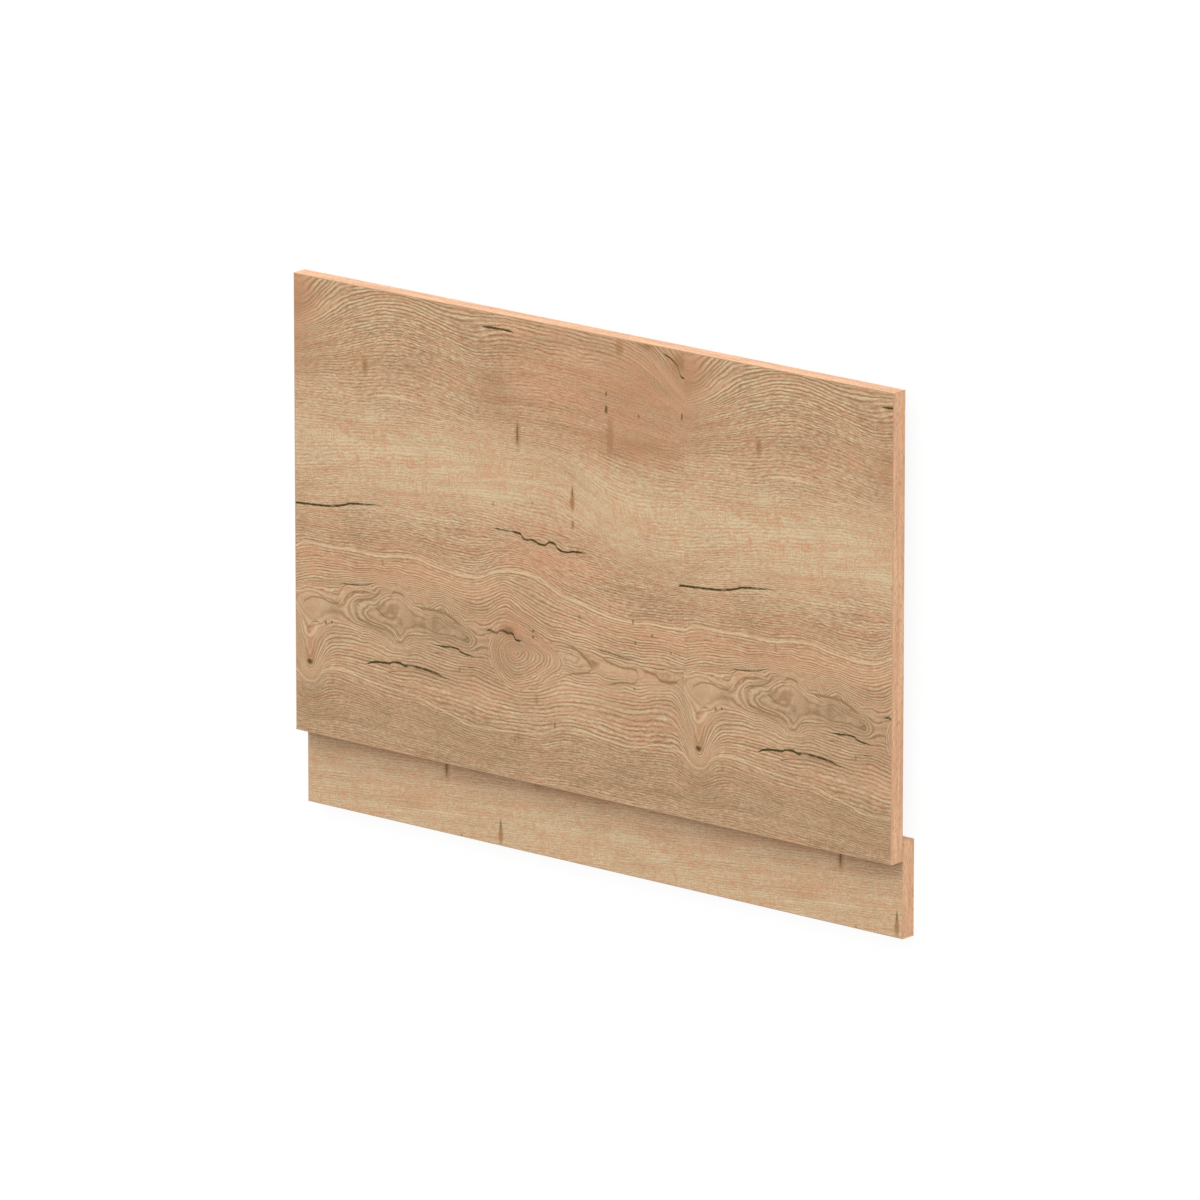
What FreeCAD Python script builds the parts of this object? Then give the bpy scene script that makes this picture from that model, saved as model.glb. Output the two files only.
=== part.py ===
"""Bath panel: a wide front board with a low plinth board lapped behind its lower edge.

Both boards are wood-grain board, edged all round with thin strips. Countersunk screws, driven from
behind, hold the plinth to the panel. The part lies on its back with its face up:
X runs across the width, Y from the plinth's foot to the panel's top, Z out of the face.
The origin is under the middle of the whole part, at floor level. All sizes are in millimetres.
"""

import FreeCAD, Part
import math
import os
from typing import NamedTuple

import Sketcher

# Driving dimensions. Each becomes a named cell of the sheet, and every feature reads its cell.
SIZES = {
    "panel_width": 780,         # both boards, over their edging
    "panel_height": 480,        # front board, over its edging
    "board_thickness": 18,      # both boards
    "plinth_height": 100,       # rear board, over its edging
    "plinth_overlap": 20,       # how far the plinth reaches up behind the panel
    "edging_thickness": 1,      # strip glued to each sawn edge
    "arris_radius": 0.5,        # rounding of a strip's two outer edges
    "screw_count": 4,           # screws in the row along the overlap
    "screw_end_distance": 60,   # from the board's end to the first screw
    "screw_diameter": 4,        # shank, over the thread
    "screw_head_diameter": 8,   # flat top of the countersunk head
    "screw_head_angle": 90,     # whole angle of the head's cone, in degrees
    "screw_head_sink": 0.5,     # head's top below the plinth's back
    "screw_tip_length": 4,      # pointed end
    "screw_tip_cover": 5.5,     # board left between the tip and the panel's face
    "plinth_hole_play": 0.25,   # all round the shank, where the screw slips through the plinth
    "panel_hole_play": 0.05,    # all round the shank, where the thread bites in the panel
    "drill_point_angle": 118,   # bottom of the blind holes, in degrees
}

# Sizes that several features share, as formulas over the sheet's cells.
WIDTH = "Sizes.panel_width"
THICKNESS = "Sizes.board_thickness"
EDGING = "Sizes.edging_thickness"
ARRIS = "min(Sizes.arris_radius; 0.8 * Sizes.edging_thickness)"
SCREW_ROW = "(Sizes.panel_width - 2 * Sizes.screw_end_distance)"
SCREW_STEP = f"{SCREW_ROW} / (Sizes.screw_count - 1)"
SCREW_LENGTH = "(2 * Sizes.board_thickness - Sizes.screw_tip_cover - Sizes.screw_head_sink)"
HEAD_SLOPE = "tan(Sizes.screw_head_angle / 2)"


class Board(NamedTuple):
    """One of the two boards: its overall height, and where its back face's middle lies."""

    name: str
    height: str
    centre_y: str
    back_z: str


PANEL = Board("panel", "Sizes.panel_height", "(Sizes.plinth_height - Sizes.plinth_overlap) / 2", THICKNESS)
PLINTH = Board("plinth", "Sizes.plinth_height", "(Sizes.plinth_overlap - Sizes.panel_height) / 2", "0")


def make_sheet(doc):
    """Write the driving dimensions to the sheet, a name and a number on each row."""
    sheet = doc.addObject("Spreadsheet::Sheet", "Sizes")
    for row, (name, value) in enumerate(SIZES.items(), start=1):
        sheet.set(f"A{row}", name)
        sheet.set(f"B{row}", str(value))
        sheet.setAlias(f"B{row}", name)
    doc.recompute()


def make_body(doc, label, x, y, z, turn=0):
    """Start a piece at a place given by formulas, turned about Z by a number of degrees."""
    body = doc.addObject("PartDesign::Body", label)
    body.Label = label
    body.Placement.Rotation = FreeCAD.Rotation(FreeCAD.Vector(0, 0, 1), turn)
    for axis, formula in zip("xyz", (x, y, z)):
        body.setExpression(f"Placement.Base.{axis}", formula)
    return body


def origin_feature(body, role):
    """Find one of a body's own origin planes or axes by its role."""
    return next(feature for feature in body.Origin.OriginFeatures if feature.Role == role)


def make_sketch(body, name, plane):
    """Start a sketch on one of a body's own origin planes."""
    sketch = body.newObject("Sketcher::SketchObject", f"{body.Name}_{name}")
    sketch.AttachmentSupport = [(origin_feature(body, plane), "")]
    sketch.MapMode = "FlatFace"
    return sketch


def add_polygon(sketch, points):
    """Draw a closed outline of straight lines and join its corners."""
    vectors = [FreeCAD.Vector(x, y, 0) for x, y in points]
    last = len(vectors) - 1
    for start, end in zip(vectors, vectors[1:] + vectors[:1]):
        sketch.addGeometry(Part.LineSegment(start, end))
    for line in range(last + 1):
        following = 0 if line == last else line + 1
        sketch.addConstraint(Sketcher.Constraint("Coincident", line, 2, following, 1))


def bind(sketch, name, formula, *constraint):
    """Add a sized constraint whose value follows a formula over the sheet's cells."""
    index = sketch.addConstraint(Sketcher.Constraint(*constraint))
    sketch.renameConstraint(index, name)
    sketch.setExpression(f"Constraints.{name}", formula)


def pad(body, sketch, length, side="One side"):
    """Raise a sketch to a solid of the given length."""
    feature = body.newObject("PartDesign::Pad", f"{body.Name}_pad")
    feature.Profile = sketch
    feature.SideType = side
    feature.setExpression("Length", length)
    return feature


def make_board(doc, board):
    """Sawn board without its edging: a rectangle about the middle of its back face."""
    body = make_body(doc, f"{board.name}_board", "0", board.centre_y, board.back_z)
    sketch = make_sketch(body, "outline", "XY_Plane")
    add_polygon(sketch, [(-1, -1), (1, -1), (1, 1), (-1, 1)])
    for line in (0, 2):
        sketch.addConstraint(Sketcher.Constraint("Horizontal", line))
    for line in (1, 3):
        sketch.addConstraint(Sketcher.Constraint("Vertical", line))
    sketch.addConstraint(Sketcher.Constraint("Symmetric", 0, 1, 2, 1, -1, 1))
    bind(sketch, "sawn_width", f"{WIDTH} - 2 * {EDGING}", "DistanceX", 0, 1, 0, 2, 2)
    bind(sketch, "sawn_height", f"{board.height} - 2 * {EDGING}", "DistanceY", 1, 1, 1, 2, 2)
    pad(body, sketch, THICKNESS)
    doc.recompute()
    return body


def drill_row(doc, body, play, row_y, up):
    """Drill the row of screw holes into a board's back, then return the hole that the row repeats.

    row_y is the row's distance from the board's middle, and up tells on which side it lies.
    """
    plain = body.Tip
    sketch = make_sketch(body, "first_hole", "XY_Plane")
    sketch.addGeometry(Part.Circle(FreeCAD.Vector(-1, 1 if up else -1, 0), FreeCAD.Vector(0, 0, 1), 1))
    middle, centre = (-1, 1), (0, 3)
    bind(sketch, "from_middle", f"{SCREW_ROW} / 2", "DistanceX", *centre, *middle, 1)
    ends = (*middle, *centre) if up else (*centre, *middle)
    bind(sketch, "row_height", row_y, "DistanceY", *ends, 1)
    diameter = f"Sizes.screw_diameter + 2 * {play}"
    bind(sketch, "hole_diameter", diameter, "Diameter", 0, 2)
    doc.recompute()
    hole = body.newObject("PartDesign::Hole", f"{body.Name}_hole")
    hole.Profile = sketch
    hole.Reversed = True
    hole.setExpression("Diameter", diameter)
    doc.recompute()
    row = body.newObject("PartDesign::LinearPattern", f"{body.Name}_hole_row")
    row.Originals = [hole]
    row.Direction = (origin_feature(body, "X_Axis"), [""])
    row.setExpression("Length", SCREW_ROW)
    row.setExpression("Occurrences", "Sizes.screw_count")
    body.Tip = row
    doc.recompute()
    if not row.Shape.Volume < hole.Shape.Volume < plain.Shape.Volume:
        raise RuntimeError(f"the holes of {body.Label} cut nothing")
    return hole


def make_panel_board(doc):
    """Front board, with blind holes in its back for the screws."""
    body = make_board(doc, PANEL)
    row_y = "(Sizes.panel_height - Sizes.plinth_overlap) / 2"
    hole = drill_row(doc, body, "Sizes.panel_hole_play", row_y, up=False)
    hole.setExpression("Depth", f"{THICKNESS} - Sizes.screw_tip_cover")
    hole.setExpression("DrillPointAngle", "Sizes.drill_point_angle")
    doc.recompute()
    return body


def make_plinth_board(doc):
    """Rear board, with countersunk holes right through from its back."""
    body = make_board(doc, PLINTH)
    row_y = "(Sizes.plinth_height - Sizes.plinth_overlap) / 2"
    hole = drill_row(doc, body, "Sizes.plinth_hole_play", row_y, up=True)
    hole.DepthType = "ThroughAll"
    hole.HoleCutType = "Countersink"
    hole.HoleCutCustomValues = True
    hole.setExpression("HoleCutCountersinkAngle", "Sizes.screw_head_angle")
    mouth = f"Sizes.screw_head_diameter + 2 * Sizes.screw_head_sink * {HEAD_SLOPE}"
    hole.setExpression("HoleCutDiameter", mouth)
    doc.recompute()
    return body


def draw_edging_section(sketch):
    """Draw a strip's section from its glued edge outwards, with its two outer corners as arcs.

    The numbers are a rough first drawing: the constraints set the true sizes.
    """
    back, arris_back, outer, arris_front, front, glued = range(6)
    thick, wide, rounding = 2, 18, 1
    inset = thick - rounding
    corners = [(0, 0), (inset, 0), (thick, rounding), (thick, wide - rounding), (inset, wide), (0, wide)]
    points = [FreeCAD.Vector(u, v, 0) for u, v in corners]
    normal = FreeCAD.Vector(0, 0, 1)
    back_circle = Part.Circle(FreeCAD.Vector(inset, rounding, 0), normal, rounding)
    front_circle = Part.Circle(FreeCAD.Vector(inset, wide - rounding, 0), normal, rounding)
    sketch.addGeometry(Part.LineSegment(points[0], points[1]))
    sketch.addGeometry(Part.ArcOfCircle(back_circle, -math.pi / 2, 0))
    sketch.addGeometry(Part.LineSegment(points[2], points[3]))
    sketch.addGeometry(Part.ArcOfCircle(front_circle, 0, math.pi / 2))
    sketch.addGeometry(Part.LineSegment(points[4], points[5]))
    sketch.addGeometry(Part.LineSegment(points[5], points[0]))
    rounded = (back, arris_back, outer, arris_front, front)
    for first, second in zip(rounded, rounded[1:]):
        sketch.addConstraint(Sketcher.Constraint("Tangent", first, 2, second, 1))
    for first, second in ((front, glued), (glued, back)):
        sketch.addConstraint(Sketcher.Constraint("Coincident", first, 2, second, 1))
    sketch.addConstraint(Sketcher.Constraint("Coincident", back, 1, -1, 1))
    for level in (back, front):
        sketch.addConstraint(Sketcher.Constraint("Horizontal", level))
    for upright in (outer, glued):
        sketch.addConstraint(Sketcher.Constraint("Vertical", upright))
    sketch.addConstraint(Sketcher.Constraint("Equal", arris_back, arris_front))
    bind(sketch, "arris", ARRIS, "Radius", arris_back, rounding)
    bind(sketch, "thickness", EDGING, "DistanceX", back, 1, outer, 1, thick)
    bind(sketch, "width", THICKNESS, "DistanceY", back, 1, front, 2, wide)


def make_edging(doc, board, side, length, x, y, turn):
    """Edging strip: its section carried along a sawn edge, half of it each way from the middle."""
    body = make_body(doc, f"{board.name}_edging_{side}", x, y, board.back_z, turn)
    sketch = make_sketch(body, "section", "YZ_Plane")
    draw_edging_section(sketch)
    pad(body, sketch, length, side="Symmetric")
    return body


def make_edgings(doc, board):
    """Four strips round a board: the long ones run its whole width, the short ones stop between them."""
    half_width = f"({WIDTH} / 2 - {EDGING})"
    half_height = f"({board.height} / 2 - {EDGING})"
    short = f"{board.height} - 2 * {EDGING}"
    return [
        make_edging(doc, board, "top", WIDTH, "0", f"{board.centre_y} + {half_height}", 0),
        make_edging(doc, board, "bottom", WIDTH, "0", f"{board.centre_y} - {half_height}", 180),
        make_edging(doc, board, "left", short, f"-{half_width}", board.centre_y, 90),
        make_edging(doc, board, "right", short, half_width, board.centre_y, -90),
    ]


def make_screw(doc, number):
    """Countersunk screw turned about its axis: flat head, cone, shank over the thread, point."""
    x = f"{number - 1} * {SCREW_STEP} - {SCREW_ROW} / 2"
    y = f"{PLINTH.centre_y} + (Sizes.plinth_height - Sizes.plinth_overlap) / 2"
    body = make_body(doc, f"plinth_screw_{number}", x, y, "Sizes.screw_head_sink")
    sketch = make_sketch(body, "half_section", "XZ_Plane")
    add_polygon(sketch, [(0, 0), (4, 0), (2, 2), (2, 26), (0, 30)])
    flat, cone, shank, point, axis = range(5)
    sketch.addConstraint(Sketcher.Constraint("Coincident", flat, 1, -1, 1))
    sketch.addConstraint(Sketcher.Constraint("Horizontal", flat))
    for upright in (shank, axis):
        sketch.addConstraint(Sketcher.Constraint("Vertical", upright))
    bind(sketch, "head_radius", "Sizes.screw_head_diameter / 2", "DistanceX", flat, 1, flat, 2, 4)
    bind(sketch, "shank_radius", "Sizes.screw_diameter / 2", "DistanceX", flat, 1, shank, 1, 2)
    head_depth = f"(Sizes.screw_head_diameter - Sizes.screw_diameter) / 2 / {HEAD_SLOPE}"
    bind(sketch, "head_depth", head_depth, "DistanceY", cone, 1, cone, 2, 2)
    bind(sketch, "point_length", "Sizes.screw_tip_length", "DistanceY", point, 1, point, 2, 4)
    bind(sketch, "screw_length", SCREW_LENGTH, "DistanceY", flat, 1, point, 2, 30)
    turned = body.newObject("PartDesign::Revolution", f"{body.Name}_turned")
    turned.Profile = sketch
    turned.ReferenceAxis = (sketch, ["V_Axis"])
    turned.Angle = 360
    return body


def check(doc, bodies):
    """Stop before anything is written if a feature failed or a piece isn't one sound solid."""
    failed = [item.Label for item in doc.Objects if {"Invalid", "Error"} & set(item.State)]
    if failed:
        raise RuntimeError(f"failed features: {failed}")
    for body in bodies:
        shape = body.Shape
        if shape.isNull() or not shape.isValid() or len(shape.Solids) != 1:
            raise RuntimeError(f"{body.Label} isn't one sound solid")


def main():
    """Build the boards, their edging and the screws, then write one file for each piece."""
    doc = FreeCAD.newDocument("bath_panel")
    make_sheet(doc)
    bodies = [make_panel_board(doc), make_plinth_board(doc)]
    for board in (PANEL, PLINTH):
        bodies += make_edgings(doc, board)
    bodies += [make_screw(doc, number) for number in range(1, int(SIZES["screw_count"]) + 1)]
    doc.recompute()
    check(doc, bodies)
    os.makedirs("parts", exist_ok=True)
    for body in bodies:
        body.Shape.exportStep(os.path.join("parts", f"{body.Label}.step"))
        box = body.Shape.BoundBox
        print(f"{body.Label}: volume {body.Shape.Volume:.1f}, x {box.XMin:.2f} to {box.XMax:.2f}, "
              f"y {box.YMin:.2f} to {box.YMax:.2f}, z {box.ZMin:.2f} to {box.ZMax:.2f}")


main()
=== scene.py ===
"""Bath panel with a lapped plinth: oak decor, edging strips, screws, floor, light and camera."""

import logging
import math
from dataclasses import dataclass
from enum import Enum
from typing import Optional, Sequence, Union

import bpy
import numpy as np
from mathutils import Matrix, Vector


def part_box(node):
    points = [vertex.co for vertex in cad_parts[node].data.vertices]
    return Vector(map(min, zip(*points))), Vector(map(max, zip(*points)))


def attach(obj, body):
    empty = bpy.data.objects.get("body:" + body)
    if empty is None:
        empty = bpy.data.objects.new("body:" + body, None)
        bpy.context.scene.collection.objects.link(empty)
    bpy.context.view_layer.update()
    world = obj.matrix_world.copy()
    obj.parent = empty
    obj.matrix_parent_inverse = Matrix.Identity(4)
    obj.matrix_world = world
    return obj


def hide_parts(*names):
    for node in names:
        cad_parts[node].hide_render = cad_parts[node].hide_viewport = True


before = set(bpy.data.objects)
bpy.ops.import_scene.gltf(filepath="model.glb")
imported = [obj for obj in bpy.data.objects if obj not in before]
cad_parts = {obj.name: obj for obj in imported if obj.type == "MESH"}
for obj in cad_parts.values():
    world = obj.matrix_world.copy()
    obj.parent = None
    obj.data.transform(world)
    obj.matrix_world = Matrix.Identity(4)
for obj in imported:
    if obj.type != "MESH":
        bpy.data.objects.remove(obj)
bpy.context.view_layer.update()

LOG = logging.getLogger("bath_panel")

BODY = "root"
MM = 0.001
SHARP_ANGLE = math.radians(35.0)

Socket = bpy.types.NodeSocket
Value = Union[float, Sequence[float], Socket]
Colour = tuple[float, float, float]
Point = tuple[float, float]


class Cut(Enum):
    """How the board behind a surface was cut, which decides where its growth lines come from."""

    FIGURED = "growth lines stored on the piece"
    STRAIGHT = "straight growth lines worked out from the place alone"


class Run(Enum):
    """The way that an edging strip runs, as an index of its long axis."""

    ACROSS = 0
    UPWARDS = 1


def srgb(red: int, green: int, blue: int) -> Colour:
    """Turn a colour as seen on screen into the linear values that shaders take.

    Args:
        red, green, blue: The colour's parts, from 0 to 255.

    Returns:
        The three linear parts, from 0 to 1.
    """
    parts = np.array([red, green, blue]) / 255.0
    linear = np.where(parts <= 0.04045, parts / 12.92, ((parts + 0.055) / 1.055) ** 2.4)
    return tuple(float(part) for part in linear)


@dataclass(frozen=True)
class Grain:
    """Noise drawn out along the grain: a fleck's length and width in millimetres, and its finer layers.

    The seed is a third coordinate that sets one noise apart from the others.
    """

    length: float
    width: float
    seed: float
    detail: float = 1.0


@dataclass(frozen=True)
class Slope:
    """A number that follows another in a straight line: its gain for each 1, and what it is at 0.

    A mask is kept between 0 and 1.
    """

    gain: float
    base: float
    is_mask: bool = False


class NodeSheet:
    """One material's shader nodes, with short calls to add and link them."""

    def __init__(self, name: str) -> None:
        """Start a material that holds only its output.

        Args:
            name: The material's name.
        """
        self.material = bpy.data.materials.new(name)
        self.material.use_nodes = True
        self.nodes = self.material.node_tree.nodes
        self.links = self.material.node_tree.links
        self.nodes.clear()
        self.output = self.nodes.new("ShaderNodeOutputMaterial")

    def put(self, socket: Socket, value: Value) -> None:
        """Link a socket to another node's output, or set its own value.

        Args:
            socket: The socket to fill.
            value: The other node's output, or the value to set.
        """
        if isinstance(value, Socket):
            self.links.new(value, socket)
        else:
            socket.default_value = value

    def add(self, kind: str, *values: Value, operation: Optional[str] = None) -> bpy.types.Node:
        """Add a node and fill its inputs.

        Args:
            kind: The node's type.
            values: Its inputs in order.
            operation: What it works out, where its type leaves a choice.

        Returns:
            The node.
        """
        node = self.nodes.new(kind)
        if operation is not None:
            node.operation = operation
        for socket, value in zip(node.inputs, values):
            self.put(socket, value)
        return node

    def math(self, operation: str, *values: Value, clamp: bool = False) -> Socket:
        """Add a Math node.

        Args:
            operation: The node's operation.
            values: Its inputs in order.
            clamp: Whether the result is kept between 0 and 1.

        Returns:
            The node's result.
        """
        node = self.add("ShaderNodeMath", *values, operation=operation)
        node.use_clamp = clamp
        return node.outputs[0]

    def times(self, first: Value, second: Value) -> Socket:
        """Multiply two numbers."""
        return self.math("MULTIPLY", first, second)

    def plus(self, total: Value, part: Value, share: Value = 1.0) -> Socket:
        """Add a share of a part to a total."""
        return self.math("MULTIPLY_ADD", part, share, total)

    def follow(self, value: Value, slope: Slope) -> Socket:
        """Let a number follow another along a slope."""
        return self.math("MULTIPLY_ADD", value, slope.gain, slope.base, clamp=slope.is_mask)

    def rise(self, value: Value, start: float, end: float) -> Socket:
        """Rise evenly from 0 to 1 while a number goes from a start to an end."""
        way = end - start
        return self.math("MULTIPLY_ADD", value, 1.0 / way, -start / way, clamp=True)

    def vector_math(self, operation: str, *values: Value) -> bpy.types.Node:
        """Add a Vector Math node."""
        return self.add("ShaderNodeVectorMath", *values, operation=operation)

    def place(self, x: Value, y: Value, z: Value = 0.0) -> Socket:
        """Join three numbers to one vector."""
        return self.add("ShaderNodeCombineXYZ", x, y, z).outputs[0]

    def split(self, vector: Socket) -> tuple[Socket, Socket, Socket]:
        """Take a vector apart into its three numbers."""
        return tuple(self.add("ShaderNodeSeparateXYZ", vector).outputs)

    def object_place(self, unit: float) -> Socket:
        """Read the Object coordinates, counted in a unit.

        Args:
            unit: The unit, in metres.

        Returns:
            The coordinates as a vector.
        """
        coordinates = self.add("ShaderNodeTexCoord")
        counted = self.vector_math("SCALE", coordinates.outputs["Object"])
        self.put(counted.inputs["Scale"], 1.0 / unit)
        return counted.outputs[0]

    def stored(self, name: str) -> tuple[Socket, Socket, Socket]:
        """Read what a piece stores on its vertices.

        Args:
            name: The name under which it is stored.

        Returns:
            The three stored numbers.
        """
        attribute = self.add("ShaderNodeAttribute")
        attribute.attribute_name = name
        return self.split(attribute.outputs["Vector"])

    def noise(self, vector: Socket, detail: float) -> Socket:
        """Add a Noise Texture whose scale is already in its vector, as a number about 0.

        Args:
            vector: Where the noise is read, in units of its own grain.
            detail: How many finer layers are added.

        Returns:
            The noise, mostly between -0.5 and 0.5.
        """
        node = self.add("ShaderNodeTexNoise")
        self.put(node.inputs["Vector"], vector)
        self.put(node.inputs["Scale"], 1.0)
        self.put(node.inputs["Detail"], detail)
        return self.math("SUBTRACT", node.outputs["Fac"], 0.5)

    def stretched(self, along: Value, across: Value, grain: Grain) -> Socket:
        """Noise drawn out along the grain.

        Args:
            along, across: The place along the grain and across it, in millimetres.
            grain: The noise's sizes.

        Returns:
            The noise about 0.
        """
        lengthwise = self.math("DIVIDE", along, grain.length)
        sideways = self.math("DIVIDE", across, grain.width)
        return self.noise(self.place(lengthwise, sideways, grain.seed), grain.detail)

    def blend(self, factor: Value, first: Value, second: Value) -> Socket:
        """Mix two colours.

        Args:
            factor: How much of the second colour shows, from 0 to 1.
            first, second: The colours.

        Returns:
            The mixed colour.
        """
        node = self.add("ShaderNodeMix")
        node.data_type = "RGBA"
        for name, value in (("Factor_Float", factor), ("A_Color", first), ("B_Color", second)):
            socket = next(item for item in node.inputs if item.identifier == name)
            is_colour = name != "Factor_Float" and not isinstance(value, Socket)
            self.put(socket, (*value, 1.0) if is_colour else value)
        return next(item for item in node.outputs if item.identifier == "Result_Color")

    def ramp(self, value: Socket, stops: Sequence[tuple[float, Colour]]) -> Socket:
        """Turn a number into a colour by a row of stops.

        Args:
            value: The number.
            stops: Each stop's place and colour, in order.

        Returns:
            The colour.
        """
        node = self.add("ShaderNodeValToRGB", value)
        elements = node.color_ramp.elements
        while len(elements) < len(stops):
            elements.new(0.5)
        for element, (position, colour) in zip(elements, stops):
            element.position = position
            element.color = (*colour, 1.0)
        return node.outputs[0]

    def curve(self, value: Socket, points: Sequence[Point], smooth: bool) -> Socket:
        """Turn a number from 0 to 1 into another by a drawn curve.

        Args:
            value: The number.
            points: The curve's points, in order.
            smooth: Whether the curve is rounded at its points.

        Returns:
            The curve's height there.
        """
        node = self.add("ShaderNodeFloatCurve")
        drawn = node.mapping.curves[0].points
        while len(drawn) < len(points):
            drawn.new(0.5, 0.5)
        for point, place in zip(drawn, points):
            point.location = place
            point.handle_type = "AUTO_CLAMPED" if smooth else "VECTOR"
        node.mapping.update()
        self.put(node.inputs["Value"], value)
        return node.outputs[0]

    def surface(self, colour: Value, roughness: Value, metallic: float = 0.0, specular: float = 0.5,
                relief: Optional[Socket] = None, relief_depth: float = 0.0) -> None:
        """Finish the material with a Principled shader.

        Args:
            colour: The base colour.
            roughness: The roughness.
            metallic: 1 for bare metal.
            specular: The specular level.
            relief: The height of a fine relief, in parts of its depth.
            relief_depth: That relief's depth in metres.
        """
        shader = self.add("ShaderNodeBsdfPrincipled")
        self.put(shader.inputs["Base Color"], colour if isinstance(colour, Socket) else (*colour, 1.0))
        self.put(shader.inputs["Roughness"], roughness)
        self.put(shader.inputs["Metallic"], metallic)
        self.put(shader.inputs["Specular IOR Level"], specular)
        if relief is not None:
            bump = self.add("ShaderNodeBump")
            self.put(bump.inputs["Strength"], 1.0)
            self.put(bump.inputs["Distance"], relief_depth)
            self.put(bump.inputs["Height"], relief)
            self.put(shader.inputs["Normal"], bump.outputs[0])
        self.put(self.output.inputs["Surface"], shader.outputs[0])


@dataclass(frozen=True)
class Rings:
    """Growth rings cut across in a knot, on the decor sheet in millimetres.

    The rings are ovals whose four half-axes differ and whose right end is pointed where
    right_power is below 2. growth is how much they hold from the middle to the rim.
    """

    u: float
    d: float
    left: float
    right: float
    up: float
    down: float
    right_power: float
    growth: float


@dataclass(frozen=True)
class Patch:
    """A soft oval patch of the decor sheet, in millimetres, and what it adds at its middle."""

    u: float
    d: float
    half_u: float
    half_d: float
    tone: float = 0.0
    warmth: float = 0.0
    lines: float = 0.0


@dataclass(frozen=True)
class Strip:
    """A thin line on the decor sheet, such as a crack, a seam or a pale growth line.

    Its middle runs through the points from left to right. half_width is half its width. All are
    in millimetres.
    """

    points: tuple[Point, ...]
    half_width: float

    # How near to the repeat's edge an end goes on over it
    JOIN = 1.0

    def width_at(self, u: float) -> float:
        """Half width at one of its points: nothing at an end, unless it goes on over the repeat.

        Args:
            u: The point's place along the sheet.

        Returns:
            The half width, in millimetres.
        """
        goes_on = min(u, OakFigure.REPEAT - u) <= self.JOIN
        is_end = u in (self.points[0][0], self.points[-1][0])
        return 0.0 if is_end and not goes_on else self.half_width


@dataclass(frozen=True)
class StripRow:
    """Strips at like depths: the lowest and highest depth, then the strips from left to right."""

    low: float
    high: float
    strips: tuple[Strip, ...]


@dataclass(frozen=True)
class Mark:
    """An oval mark on the decor sheet, such as a pin knot or a stain: place, half sizes and darkness."""

    u: float
    d: float
    half_u: float
    half_d: float
    darkness: float


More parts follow.
